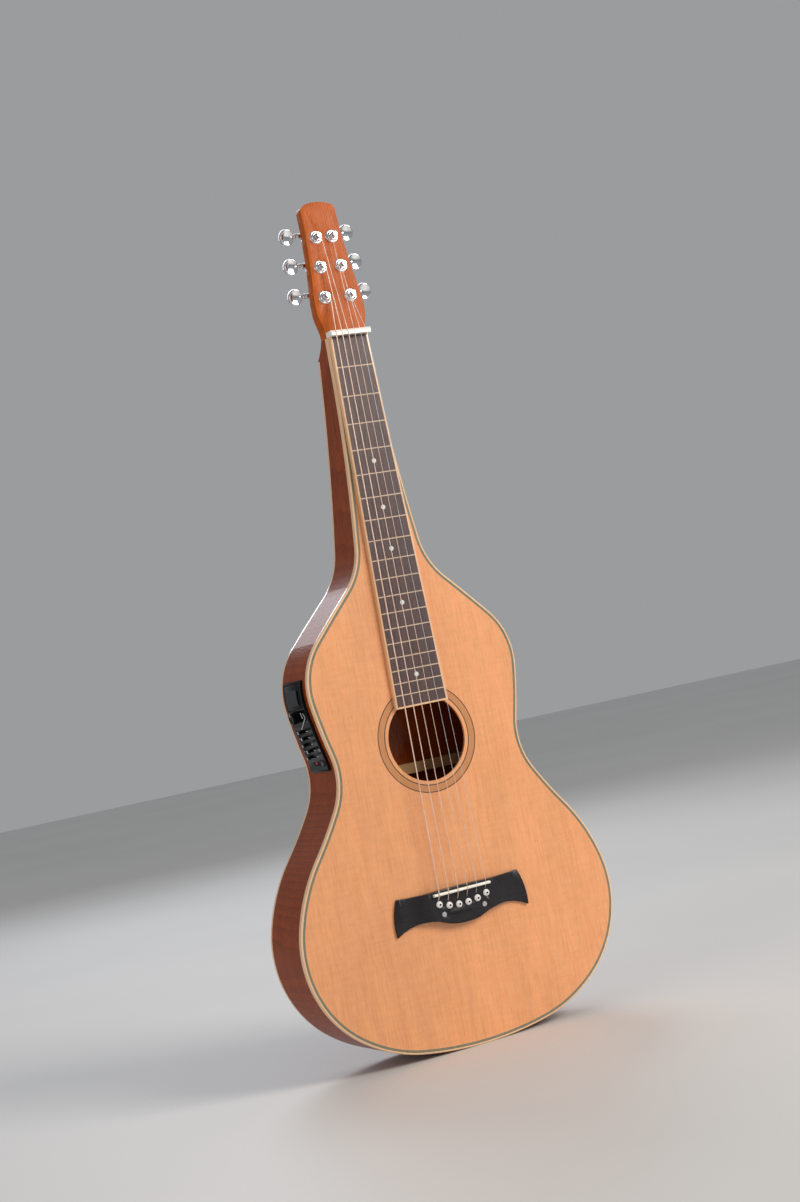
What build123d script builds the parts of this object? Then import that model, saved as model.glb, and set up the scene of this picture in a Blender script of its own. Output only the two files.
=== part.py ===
"""Hollow-neck acoustic lap-steel guitar with a side preamp.

The guitar is drawn about the saddle: x is across the strings (treble side positive), y runs back
from the soundboard's face, and z runs up the strings from the saddle line. At export everything is
moved so that the guitar stands on its tail at z = 0, centred in x and y. All sizes are millimetres.
"""
from build123d import *
import os
from math import asin, cos, degrees, radians, sin, sqrt

# ---------------------------------------------------------------- driving dimensions
scale_length = 635.0          # nut to saddle
tail_z = -174.1               # lowest point of the body, measured from the saddle line
half_width_max = 199.0
back_end_z = 615.0            # where the arched back stops and the heel scoop begins

# the body's outline from the middle of the tail to the nut, as arcs that run into each other:
# radius and turn in degrees, with a hollow arc's radius negative; a straight neck edge follows the last
outline_arcs = [
    (426.2, 10.54), (168.2, 27.70), (125.6, 67.01), (201.7, 22.36), (-467.5, 6.88), (-79.9, 45.51),
    (527.9, 6.40), (80.3, 51.15), (1680.2, 2.33), (-81.8, 38.31), (-2062.1, 5.65),
]
# depth of the body at the back's two ends and its middle
back_arc_points = [(84.26, tail_z - 20.0), (77.4, 213.0), (33.5, back_end_z)]
heel_points = [(33.5, back_end_z), (20.0, 627.5), (15.0, scale_length)]

soundboard_thickness = 2.8
back_thickness = 2.8
side_thickness = 2.2
binding_height = 5.4
back_binding_height = 5.0
purfling_width = 2.8
purfling_depth = 1.4
lining_width = 6.0
lining_height = 12.0
inner_inset = side_thickness + lining_width + 0.2
neck_block_bottom = 586.0
tail_block_half_width = 34.0
tail_block_depth = 20.0

hole_radius = 48.2
hole_z = 172.1
rosette_line_radii = (52.8, 60.9)
rosette_line_width = 1.1
rosette_depth = 1.2

board_thickness = 5.75
board_half_width_nut = 21.5
board_half_width_end = 31.1
board_end_z = 211.9
board_binding = 2.0
fret_count = 18
fret_line_width = 1.2
fret_line_depth = 1.6
dot_spaces = (5, 7, 9, 12, 17)
dot_radius = 2.7

nut_length = 6.0
nut_half_width = 25.5
nut_height = 13.6
nut_slot_gap = 0.08           # beside each string in its nut slot
saddle_half_length = 36.0
saddle_thickness = 3.2
saddle_crown = 14.0
pickup_height = 1.2
bridge_height = 9.0
bridge_wing_height = 3.6
bridge_slot_depth = 5.6
bridge_plate_half = 62.0
bridge_plate_thickness = 2.5

# strings from the bass side: diameter, x at the saddle, x at the nut
string_diameters = (1.42, 1.17, 0.91, 0.66, 0.46, 0.41)
saddle_spacing = 12.1
nut_spacing = 7.72
string_y_saddle = -14.0
string_y_nut = -13.3
wound_count = 4
pin_z = (-10.8, -14.05, -15.45, -15.45, -14.05, -10.8)
pin_radius = 2.6
pin_head_radius = 3.9
pin_dome_rise = 2.4
pin_tip_y = 8.0
string_exit_ahead = 2.0       # how far in front of its pin's centre a string leaves the bridge
string_bend_y = -6.0
ball_y = 10.2
ball_radius = 1.9
bridge_dot_places = ((-26.0, -22.7), (26.0, -22.7))
bridge_dot_radius = 2.8

headstock_tilt = 3.8
headstock_pivot_z = 642.0
headstock_thickness = 13.0
post_places = ((16.25, 40.5), (13.1, 76.2), (10.2, 111.4))     # x and distance up the face, each side
post_radius = 3.0
post_top = 9.5
post_bottom = -22.3
running_gap = 0.05
worm_offset = 8.4             # worm shaft above its post, along the headstock
worm_depth = -18.5            # worm shaft behind the face
gear_radius = 6.0
gear_teeth = 14
gear_thickness = 4.0
worm_radius = 2.1
shaft_radius = 2.0
button_reach = 27.4           # button centre outboard of its post
button_half_long = 10.0
button_half_across = 8.6
button_half_thick = 3.4
wrap_height = 6.2
wrap_turns = 3

panel_z = (158.5, 263.0)
panel_y = (13.0, 63.0)
panel_proud = 2.2
case_margin = 3.5
case_depth_low = 36.0         # how far the preamp case reaches in from the side's outer face
case_depth_battery = 58.0
door_z = (232.2, 260.2)
door_y = (17.0, 60.0)
door_gap = 0.4
hinge_radius = 1.0
hinge_pin_radius = 0.5
knob_z = 223.8
knob_y = 43.0
knob_radius = 7.2
knob_height = 7.5
slider_z = (206.6, 199.1, 191.7, 184.3, 176.9)
slider_rest_y = (48.0, 45.0, 50.0, 44.0, 52.0)
slider_middle_y = 45.0
slider_travel = 10.0
tuner_button_z = 168.0
tuner_button_y = 24.0
tuner_button_radius = 2.5
tuner_button_travel = 1.0
led_y = 38.6
led_z = 169.5

jack_radius = 3.2
jack_sleeve_radius = 6.0
jack_flange_radius = 10.5
jack_flange_thickness = 1.6
jack_length = 30.0
jack_y = 42.0

# the strings reach ahead of the body and the back reaches behind it
front_y = -(string_diameters[0] / 2 - string_y_saddle)
back_y = 86.15
place = Location((0, -(front_y + back_y) / 2, -tail_z))


# ---------------------------------------------------------------- drawing helpers
def slab(face, y_front, y_back):
    """Solid of a face drawn as (x, z), between two depths behind the soundboard's face."""
    drawn = Plane.XZ * Location((0, 0, -y_front)) * face
    return extrude(drawn, amount=y_back - y_front, dir=(0, 1, 0))


def across(face, half_length):
    """Solid of a face drawn as (y, z), reaching half_length to each side of the centre."""
    drawn = Plane.YZ * Location((0, 0, -half_length)) * face
    return extrude(drawn, amount=2 * half_length, dir=(1, 0, 0))


def block(x_range, y_range, z_range):
    """Rectangular block between two corners."""
    size = [high - low for low, high in (x_range, y_range, z_range)]
    centre = [(high + low) / 2 for low, high in (x_range, y_range, z_range)]
    return Pos(*centre) * Box(*size)


def rod(start, end, radius):
    """Round bar between two points."""
    line = Vector(*end) - Vector(*start)
    standing = (Align.CENTER, Align.CENTER, Align.MIN)
    return Plane(origin=start, z_dir=line) * Cylinder(radius, line.length, align=standing)


def cone_rod(start, end, start_radius, end_radius):
    """Tapered round bar between two points."""
    line = Vector(*end) - Vector(*start)
    return Plane(origin=start, z_dir=line) * Cone(
        start_radius, end_radius, line.length, align=(Align.CENTER, Align.CENTER, Align.MIN))


def half_outline(inset):
    """Treble half of the body's outline as a chain of tangent arcs, moved in by inset, tail to nut."""
    edges = []
    point = Vector(0, tail_z + inset)
    heading = 0.0
    for radius, turn in outline_arcs:
        bend = radius - inset
        centre = point + Vector(-sin(heading), cos(heading)) * bend
        middle_heading = heading + radians(turn) / 2 * (1 if radius > 0 else -1)
        heading = heading + radians(turn) * (1 if radius > 0 else -1)
        middle = centre + Vector(sin(middle_heading), -cos(middle_heading)) * bend
        end = centre + Vector(sin(heading), -cos(heading)) * bend
        edges.append(ThreePointArc(point, middle, end))
        point = end
    run = (scale_length - point.Y) / sin(heading)
    edges.append(Line(point, point + Vector(cos(heading), sin(heading)) * run))
    return edges


def whole_outline(inset):
    """Both halves of the outline, with one arc across the tail."""
    half = half_outline(inset)
    tail_end = half[0].position_at(1)
    tail_arc = ThreePointArc((-tail_end.X, tail_end.Y), (0, tail_z + inset), tail_end)
    return [tail_arc] + half[1:] + [edge.mirror(Plane.YZ) for edge in half[1:]]


def body_face(inset):
    """The whole outline as a face, moved in by inset."""
    edges = whole_outline(inset)
    end = edges[len(outline_arcs)].position_at(1)
    return make_face(edges + [Line((end.X, end.Y), (-end.X, end.Y))])


def band_face(outer_inset, inner_inset):
    """U-shaped band that follows the outline round the tail, between two insets."""
    outer, inner = whole_outline(outer_inset), whole_outline(inner_inset)
    last = len(outline_arcs)
    end = Line(outer[last].position_at(1), inner[last].position_at(1))
    return make_face(outer + inner + [end, end.mirror(Plane.YZ)])


outline = half_outline(0)


def outline_at(z, proud=0.0):
    """Point on the bass side's outer face at height z, moved out by proud, and which way is out."""
    edge = [piece for piece in outline if piece.position_at(0).Y <= z][-1]
    low, high = 0.0, 1.0
    for _ in range(40):
        middle = (low + high) / 2
        if edge.position_at(middle).Y < z:
            low = middle
        else:
            high = middle
    point = edge.position_at(low)
    tangent = edge.tangent_at(low)
    outward = Vector(-tangent.Y, 0, -tangent.X)
    return Vector(-point.X, 0, point.Y) + outward * proud, outward


def side_plane(y, z, proud=0.0):
    """Plane on the bass side: x towards the soundboard, y up the body, z straight out."""
    point, outward = outline_at(z, proud)
    return Plane(origin=(point.X, y, point.Z), x_dir=(0, -1, 0), z_dir=outward)


def ahead_of_back(inset):
    """Everything ahead of the back's outer face, moved in by inset, with the heel scoop above it."""
    arc = ThreePointArc(*[(y - inset, z) for y, z in back_arc_points])
    heel = ThreePointArc(*[(y - inset, z) for y, z in heel_points])
    bottom_y, bottom_z = back_arc_points[0][0] - inset, back_arc_points[0][1]
    top_y = heel_points[2][0] - inset
    edges = Polyline((top_y, scale_length), (-40, scale_length), (-40, bottom_z), (bottom_y, bottom_z))
    return across(make_face([arc, heel, edges]), half_width_max + 20)


def below(z):
    """Everything lower than z."""
    return block((-300, 300), (-100, 200), (tail_z - 100, z))


def above(z):
    """Everything higher than z, up to the nut."""
    return block((-300, 300), (-100, 200), (z, scale_length + 50))


outer_face = body_face(0)
plate_face = body_face(side_thickness)
inner_face = body_face(inner_inset)
edge_ring = band_face(0, side_thickness)
purfling_ring = band_face(side_thickness, side_thickness + purfling_width)
lining_ring = band_face(side_thickness, side_thickness + lining_width)
back_surface = ahead_of_back(0)
back_inside = ahead_of_back(back_thickness)
far_back = 110.0


# ---------------------------------------------------------------- strings' routes
def spread(index, spacing):
    """Across-the-strings place of a string, counted from the bass side."""
    return (index - 2.5) * spacing


def headstock_plane():
    """Plane of the headstock's face: x to the treble side, y up the face, z out of the face."""
    tilt = radians(headstock_tilt)
    return Plane(origin=(0, 0, headstock_pivot_z), x_dir=(1, 0, 0), z_dir=(0, -cos(tilt), sin(tilt)))


face_plane = headstock_plane()


def on_headstock(x, up, out):
    """Point given on the headstock's face, turned into the guitar's own x, y, z."""
    return face_plane.from_local_coords(Vector(x, up, out))


def post_place(index):
    """Side (-1 bass, +1 treble), x and height up the face of a post, numbered from the bass."""
    side = -1 if index < 3 else 1
    x, up = post_places[index] if index < 3 else post_places[5 - index]
    return side, side * x, up


def string_route(index):
    """Points of a string from its ball end to where it meets the winding on its post."""
    radius = string_diameters[index] / 2
    x_saddle = spread(index, saddle_spacing)
    x_nut = spread(index, nut_spacing)
    leave_z = pin_z[index] + string_exit_ahead
    side, post_x, up = post_place(index)
    meet_x = post_x - side * (post_radius + radius)
    short_of_winding = sqrt(2 * (post_radius + radius) * (2 * radius + 0.35))
    ball = (x_saddle, ball_y, leave_z)
    bend = (x_saddle, string_bend_y, leave_z)
    crown = (x_saddle, string_y_saddle, 0.0)
    nut_top = (x_nut, string_y_nut, scale_length + nut_length / 2)
    meet = on_headstock(meet_x, up - short_of_winding, wrap_height)
    return [ball, bend, crown, nut_top, (meet.X, meet.Y, meet.Z)]


def string_tunnel(index):
    """Clearance for a string through the bridge, its pin and the plate below."""
    radius = string_diameters[index] / 2 + 0.12
    ball, bend, crown = string_route(index)[:3]
    return rod(ball, bend, radius) + rod(bend, crown, radius) + Pos(*bend) * Sphere(radius)


tunnels = [string_tunnel(index) for index in range(6)]


def string_solid(index):
    """One string with its ball end."""
    route = string_route(index)
    radius = string_diameters[index] / 2
    path = FilletPolyline(*route, radius=[2.0, 2.5, 2.5])
    start = Plane(origin=path @ 0, z_dir=path % 0)
    wire = sweep(start * Circle(radius), path=path)
    return wire + Pos(*route[0]) * Sphere(ball_radius)


# ---------------------------------------------------------------- body
def fretboard_shadow():
    """Outline of the fingerboard with its binding, drawn as (x, z)."""
    end_half = board_half_width_end + board_binding
    nut_half = board_half_width_nut + board_binding
    low = board_end_z - board_binding
    return make_face(Polyline((-end_half, low), (end_half, low), (nut_half, scale_length),
                              (-nut_half, scale_length), close=True))


def ring(inner, outer):
    """Flat ring round the soundhole."""
    return Pos(0, hole_z) * (Circle(outer) - Circle(inner))


def pin_holes(y_front, y_back):
    """Holes for the six bridge pins, through everything between two depths."""
    holes = []
    for index in range(6):
        x = spread(index, saddle_spacing)
        holes.append(rod((x, y_front, pin_z[index]), (x, y_back, pin_z[index]), pin_radius))
    return holes


lead_hole_x = -33.0
lead_radius = 1.0


def lead_hole(y_front, y_back):
    """Small hole under the bass end of the saddle for the pickup's lead."""
    return rod((lead_hole_x, y_front, 0), (lead_hole_x, y_back, 0), lead_radius)


def cut_all(solid, cutters):
    """Take every cutter from a solid."""
    for cutter in cutters:
        solid = solid - cutter
    return solid


def rosette_faces():
    """The two dark lines of the rosette, and the band between them."""
    half = rosette_line_width / 2
    lines = [ring(radius - half, radius + half) for radius in rosette_line_radii]
    band = ring(rosette_line_radii[0] + half, rosette_line_radii[1] - half)
    return lines, band


def make_rosette():
    """Inlaid rings round the soundhole."""
    lines, band = rosette_faces()
    return [slab(face, 0, rosette_depth) for face in lines], slab(band, 0, rosette_depth)


rosette_lines, rosette_band = make_rosette()
purfling = slab(purfling_ring, 0, purfling_depth)
drilled_at_bridge = pin_holes(-20, 20) + tunnels + [lead_hole(-20, 20)]


def make_soundboard():
    """Solid spruce plate with its soundhole, rosette channel and purfling rebate."""
    plate = slab(plate_face - Pos(0, hole_z) * Circle(hole_radius), 0, soundboard_thickness)
    channel = slab(ring(rosette_line_radii[0] - rosette_line_width / 2,
                        rosette_line_radii[1] + rosette_line_width / 2), -1, rosette_depth)
    rebate = slab(purfling_ring, -1, purfling_depth)
    return cut_all(plate, [channel, rebate] + drilled_at_bridge)


def make_back():
    """Arched back plate."""
    plate = slab(plate_face, 0, far_back) & back_surface
    return (plate - back_inside) & below(back_end_z)


def make_bindings():
    """Light wooden bindings along the front and back edges."""
    top = slab(edge_ring, 0, binding_height)
    back = (slab(edge_ring, 0, far_back) & back_surface) - ahead_of_back(back_binding_height)
    return top, back & below(back_end_z)


def side_window():
    """Opening in the bass side for the preamp case."""
    return block((-160, -90), (panel_y[0] + case_margin, panel_y[1] - case_margin),
                 (panel_z[0] + case_margin, panel_z[1] - case_margin))


def make_sides(back_binding):
    """Two bent mahogany sides meeting at the tail."""
    strip = slab(edge_ring, binding_height, far_back) & back_surface
    strip = strip - back_binding - jack_recess()
    bass = (strip & block((-300, 0), (-10, 200), (-300, 700))) - side_window()
    treble = strip & block((0, 300), (-10, 200), (-300, 700))
    return bass, treble


def jack_recess():
    """Seat and bore for the end jack, through the tail."""
    seat = rod((0, jack_y, tail_z - 5), (0, jack_y, tail_z + jack_flange_thickness + 0.4), jack_flange_radius)
    bore = rod((0, jack_y, tail_z - 5), (0, jack_y, tail_z + 60), jack_sleeve_radius)
    return seat + bore


def make_jack():
    """Flush end jack: a flange let into the tail, and a sleeve with the plug's bore."""
    base = tail_z + 0.4
    flange = rod((0, jack_y, base), (0, jack_y, base + jack_flange_thickness), jack_flange_radius)
    sleeve = rod((0, jack_y, base), (0, jack_y, base + jack_length), jack_sleeve_radius)
    bore = rod((0, jack_y, base - 5), (0, jack_y, base + jack_length - 1.5), jack_radius)
    return (flange + sleeve) - bore


def make_tail_block():
    """Block that joins the sides at the tail and holds the jack."""
    span = Pos(0, tail_z) * Rectangle(2 * tail_block_half_width, 2 * tail_block_depth)
    solid = slab(plate_face & span, soundboard_thickness, far_back) & back_inside
    return solid - jack_recess()


def make_neck_block():
    """Block inside the top of the hollow neck, scooped at the back where the headstock begins."""
    solid = (slab(plate_face, soundboard_thickness, far_back) & back_surface) & above(neck_block_bottom)
    return solid - make_back()


def make_linings(case_clearance):
    """Strips that join the sides to the soundboard and to the back."""
    front = slab(lining_ring, soundboard_thickness, soundboard_thickness + lining_height)
    rear = (slab(lining_ring, 0, far_back) & back_inside) - ahead_of_back(back_thickness + lining_height)
    limits = below(neck_block_bottom)
    both = [cut_all(strip & limits, [tail_block_envelope(), case_clearance]) for strip in (front, rear)]
    return both


def tail_block_envelope():
    """Space of the tail block, for trimming the linings."""
    x_range = (-tail_block_half_width, tail_block_half_width)
    return block(x_range, (-5, 200), (tail_z - 5, tail_z + tail_block_depth))


def bar(start, end, width):
    """Straight bar in the (x, z) drawing plane."""
    run = Vector(end[0] - start[0], end[1] - start[1])
    angle = degrees(asin(run.Y / run.length))
    if run.X < 0:
        angle = 180 - angle
    middle = ((start[0] + end[0]) / 2, (start[1] + end[1]) / 2)
    return Pos(*middle) * Rot(0, 0, angle) * Rectangle(run.length, width)


brace_width = 7.0
brace_height = 12.0
x_cross_z = 98.0


def make_soundboard_braces():
    """X brace, two tone bars and a transverse bar, glued under the soundboard."""
    cross = bar((-190, x_cross_z - 165), (145, x_cross_z + 126), brace_width)
    cross = cross + bar((190, x_cross_z - 165), (-145, x_cross_z + 126), brace_width)
    cross = cross & inner_face
    cross = cross & (Pos(0, -100) * Rectangle(420, 450))
    transverse = bar((-150, 236), (150, 236), brace_width) & inner_face
    tone_low = bar((-75, -120), (60, -72), brace_width) & inner_face
    tone_high = bar((-62, -82), (66, -44), brace_width) & inner_face
    tone_high = tone_high - bar((190, x_cross_z - 165), (-145, x_cross_z + 126), brace_width + 1)
    tone_high = tone_high - bar((-190, x_cross_z - 165), (145, x_cross_z + 126), brace_width + 1)
    y_low, y_high = soundboard_thickness, soundboard_thickness + brace_height
    return [slab(face, y_low, y_high) for face in (cross, transverse, tone_low, tone_high)]


back_brace_z = (-112.0, -18.0, 139.5, 300.0)
back_brace_width = 12.0


def make_back_braces():
    """Ladder bars across the inside of the back."""
    bars = []
    for z in back_brace_z:
        face = bar((-210, z), (210, z), back_brace_width) & inner_face
        solid = (slab(face, 0, far_back) & back_inside) - ahead_of_back(back_thickness + brace_height)
        bars.append(solid)
    return bars


def make_bridge_plate():
    """Hard maple plate under the bridge, inside."""
    face = Pos(0, -12) * Rectangle(2 * bridge_plate_half, 34)
    plate = slab(face, soundboard_thickness, soundboard_thickness + bridge_plate_thickness)
    return cut_all(plate, drilled_at_bridge)


# ---------------------------------------------------------------- fingerboard and nut
def fret_z(number):
    """Height of a fret line above the saddle line."""
    return scale_length / 2 ** (number / 12)


def board_half(z):
    """Half-width of the dark fingerboard at a height."""
    along = (scale_length - z) / (scale_length - board_end_z)
    return board_half_width_nut + along * (board_half_width_end - board_half_width_nut)


def board_face():
    """Dark fingerboard drawn as (x, z)."""
    low, high = board_half_width_end, board_half_width_nut
    return make_face(Polyline((-low, board_end_z), (low, board_end_z), (high, scale_length),
                              (-high, scale_length), close=True))


def make_fingerboard():
    """Fingerboard, its binding, flush fret lines and position dots."""
    face = board_face()
    binding = slab(fretboard_shadow() - face, -board_thickness, 0)
    lines = []
    for number in range(1, fret_count + 1):
        z = fret_z(number)
        half = board_half(z + fret_line_width / 2) - 0.02
        lines.append(block((-half, half), (-board_thickness, -board_thickness + fret_line_depth),
                           (z - fret_line_width / 2, z + fret_line_width / 2)))
    dots = []
    for number in dot_spaces:
        z = (fret_z(number) + fret_z(number - 1)) / 2
        dots.append(rod((0, -board_thickness, z), (0, -board_thickness + fret_line_depth, z), dot_radius))
    board = cut_all(slab(face, -board_thickness, 0), lines + dots)
    return board, binding, lines, dots


def make_nut():
    """Tall bone nut with a slot for each string."""
    front = scale_length
    back = front + nut_length
    profile = make_face(Polyline((0, front), (-nut_height, front), (-nut_height, front + nut_length * 0.55),
                                 (-nut_height + 1.6, back), (0, back), close=True))
    solid = across(profile, nut_half_width)
    solid = chamfer(solid.edges().filter_by(Axis.Z).group_by(Axis.Y)[0], 1.2)
    for index in range(6):
        radius = string_diameters[index] / 2
        top, meet = string_route(index)[3:]
        room = radius + nut_slot_gap
        slot = block((top[0] - room, top[0] + room), (-nut_height - 5, top[1] + radius + 0.03),
                     (front - 1, top[2]))
        solid = solid - slot - rod(top, meet, room)
    return solid


# ---------------------------------------------------------------- bridge and saddle
def bridge_half_outline():
    """Treble half of the bridge, drawn as (x, z): flat front, flared tips and a belly behind the pins."""
    front = Spline([(0, 4.4), (44, 3.6), (77.6, 5.0)], tangents=[(1, 0), (1, 0.10)])
    tip = ThreePointArc((77.6, 5.0), (83.7, -15.0), (84.2, -36.0))
    belly = Spline([(84.2, -36.0), (67.0, -29.0), (50.0, -26.9), (27.0, -31.4), (0, -36.8)],
                   tangents=[(-1.0, 0.62), (-1, 0)])
    return [front, tip, belly]


def bridge_scoop(side):
    """Hollow over one wing of the bridge, from the tall middle block down to the thin wing."""
    start, low = 41.0, 57.0
    slope = Spline([(side * start, -bridge_height), (side * low, -bridge_wing_height - 1.0),
                    (side * 90.0, -bridge_wing_height)],
                   tangents=[(side * 1.0, 0.12), (side * 1.0, 0.0)])
    lid = Polyline((side * 90.0, -bridge_wing_height), (side * 90.0, -20), (side * start, -20),
                   (side * start, -bridge_height))
    drawn = make_face([slope, lid])
    return extrude(Plane.XY * Location((0, 0, -60)) * drawn, amount=90, dir=(0, 0, 1))


def make_bridge():
    """Dark bat-wing bridge with saddle slot, pin holes and bolt wells."""
    half = bridge_half_outline()
    other = [edge.mirror(Plane.YZ) for edge in half]
    solid = slab(make_face(half + other), -bridge_height, 0)
    solid = cut_all(solid, [bridge_scoop(1), bridge_scoop(-1)])
    slot = block((-saddle_half_length, saddle_half_length), (-30, -bridge_height + bridge_slot_depth),
                 (-saddle_thickness / 2, saddle_thickness / 2))
    wells = [rod((x, -30, z), (x, -bridge_height + 1.5, z), bridge_dot_radius) for x, z in bridge_dot_places]
    return cut_all(solid, [slot] + wells + drilled_at_bridge)


def make_saddle():
    """Bone saddle with a rounded crown, standing on the pickup strip."""
    foot = -bridge_height + bridge_slot_depth - pickup_height
    half = saddle_thickness / 2
    sides = Polyline((-saddle_crown + half, -half), (foot, -half), (foot, half), (-saddle_crown + half, half))
    crown = ThreePointArc((-saddle_crown + half, half), (-saddle_crown, 0), (-saddle_crown + half, -half))
    solid = across(make_face([sides, crown]), saddle_half_length)
    notches = []
    for index in range(6):
        x = spread(index, saddle_spacing)
        room = string_diameters[index] / 2 + 0.15
        notches.append(rod((x, string_y_saddle, -4), (x, string_y_saddle, 4), room))
        notches.append(rod(string_route(index)[1], string_route(index)[2], room))
    return cut_all(solid, notches)


def make_pickup():
    """Pickup strip in the bottom of the saddle slot."""
    foot = -bridge_height + bridge_slot_depth
    strip = block((-saddle_half_length, saddle_half_length), (foot - pickup_height, foot),
                  (-saddle_thickness / 2, saddle_thickness / 2))
    return strip


def make_pin(index):
    """Bridge pin with a domed head and a flute for its string."""
    x, z = spread(index, saddle_spacing), pin_z[index]
    seat = -bridge_height
    rim = seat - 1.0
    crown = rim - pin_dome_rise
    ball = (pin_head_radius ** 2 + pin_dome_rise ** 2) / (2 * pin_dome_rise)
    half_angle = asin(pin_head_radius / ball) / 2
    middle = (ball * sin(half_angle), crown + ball * (1 - cos(half_angle)))
    shoulder = Polyline((0, pin_tip_y), (pin_radius, pin_tip_y), (pin_radius, seat), (pin_head_radius, seat),
                        (pin_head_radius, rim))
    dome = ThreePointArc((pin_head_radius, rim), middle, (0, crown))
    axis_line = Line((0, crown), (0, pin_tip_y))
    turned = revolve(make_face([shoulder, dome, axis_line]), axis=Axis.Y)
    gap = string_diameters[index] / 2 + 0.12
    flute = block((x - gap, x + gap), (seat, pin_tip_y + 1), (z + string_exit_ahead - gap, z + 5))
    return (Pos(x, 0, z) * turned) - flute


def make_headstock():
    """Solid headstock: waisted at the nut, tapered to an arched top, blended into the heel at the back."""
    pivot_drop = headstock_pivot_z - scale_length
    right = Spline([(25.6, -pivot_drop - 1.0), (26.0, 3.0), (29.3, 16.0), (30.4, 27.0), (28.8, 50.0),
                    (25.5, 77.0), (22.6, 112.0), (22.0, 142.5)], tangents=[(0.0, 1), (0.0, 1)])
    corner = ThreePointArc((22.0, 142.5), (20.3, 147.3), (16.2, 150.3))
    top = ThreePointArc((16.2, 150.3), (0, 153.2), (-16.2, 150.3))
    left = [right.mirror(Plane.YZ), corner.mirror(Plane.YZ)]
    bottom = Line((25.6, -pivot_drop - 1.0), (-25.6, -pivot_drop - 1.0))
    drawn = face_plane * Location((0, 0, -40)) * make_face([right, corner, top, bottom] + left)
    outline_solid = extrude(drawn, amount=80, dir=face_plane.z_dir)
    top_face = on_headstock(0, 170, 0)
    top_back = on_headstock(0, 170, -headstock_thickness)
    low_back = on_headstock(0, 34, -headstock_thickness)
    heel_y = heel_points[2][0]
    heel = Spline([(low_back.Y, low_back.Z), (heel_y + 0.2, scale_length + 9), (heel_y, scale_length)],
                  tangents=[(low_back.Y - top_back.Y, low_back.Z - top_back.Z), (0.0, -1)])
    rest = Polyline((heel_y, scale_length), (0, scale_length), (0, headstock_pivot_z),
                    (top_face.Y, top_face.Z), (top_back.Y, top_back.Z), (low_back.Y, low_back.Z))
    profile = across(make_face([heel, rest]), 60)
    holes = [rod(on_headstock(x, up, 5), on_headstock(x, up, -60), bushing_sleeve_radius)
             for x, up in [post_place(i)[1:] for i in range(6)]]
    screws = [screw_hole(index) for index in range(6)]
    return cut_all(outline_solid & profile, holes + screws)


bushing_sleeve_radius = 4.6
washer_radius = 7.8
screw_radius = 1.1
screw_drop = 9.8


def screw_place(index):
    """Where a tuner's screw sits on the headstock: x and distance up the face."""
    side, x, up = post_place(index)
    return x - side * 2.0, up - screw_drop


def screw_hole(index):
    """Hole for a tuner's screw in the back of the headstock."""
    x, up = screw_place(index)
    return rod(on_headstock(x, up, -headstock_thickness - 20), on_headstock(x, up, -headstock_thickness + 7),
               screw_radius)


def make_bushing(index):
    """Washer, domed nut and sleeve that guide a post through the headstock."""
    x, up = post_place(index)[1:]
    washer = rod(on_headstock(x, up, 0), on_headstock(x, up, 0.8), washer_radius)
    dome = cone_rod(on_headstock(x, up, 0.8), on_headstock(x, up, 3.0), 6.2, 4.4)
    sleeve = rod(on_headstock(x, up, 0), on_headstock(x, up, -10), bushing_sleeve_radius)
    bore = rod(on_headstock(x, up, 5), on_headstock(x, up, -12), post_radius + running_gap)
    return (washer + dome + sleeve) - bore


def make_housing(index):
    """Closed gear housing behind the headstock, with a collar for the button's shaft."""
    side, x, up = post_place(index)
    back = -headstock_thickness
    middle_up = up + 3.6
    plate = Plane(origin=on_headstock(x, middle_up, back), x_dir=(1, 0, 0), z_dir=face_plane.z_dir * -1)
    body = plate * extrude(RectangleRounded(15.5, 22.0, 3.5), amount=11.0)
    body = chamfer(body.faces().sort_by(Axis.Y)[-1].edges(), 1.5)
    ear_x, ear_up = screw_place(index)
    ear = rod(on_headstock(ear_x, ear_up, back), on_headstock(ear_x, ear_up, back - 2.0), 3.0)
    web = plate * extrude(Pos(0, -11.0) * Rectangle(5.6, 6.0), amount=2.0)
    collar = rod(on_headstock(x + side * 5, up + worm_offset, worm_depth),
                 on_headstock(x + side * 16.4, up + worm_offset, worm_depth), 3.4)
    shaft_bore = rod(on_headstock(x, up + worm_offset, worm_depth),
                     on_headstock(x + side * 30, up + worm_offset, worm_depth), shaft_radius + running_gap)
    gear_room = rod(on_headstock(x, up, back + 1), on_headstock(x, up, -22.0), gear_radius + 0.5)
    worm_room = rod(on_headstock(x - side * 5.6, up + worm_offset, worm_depth),
                    on_headstock(x + side * 5.6, up + worm_offset, worm_depth), worm_radius + 0.7)
    foot_bore = rod(on_headstock(x, up, back), on_headstock(x, up, post_bottom - 0.3),
                    post_radius + running_gap)
    hole = screw_hole(index)
    return cut_all(body + ear + web + collar, [shaft_bore, gear_room, worm_room, foot_bore, hole])


def make_screw(index):
    """Small screw that holds a tuner housing."""
    x, up = screw_place(index)
    back = -headstock_thickness
    head = cone_rod(on_headstock(x, up, back - 2.0), on_headstock(x, up, back - 3.2), 2.2, 1.5)
    shank = rod(on_headstock(x, up, back - 2.0), on_headstock(x, up, back + 6.5), screw_radius)
    return head + shank


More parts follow.
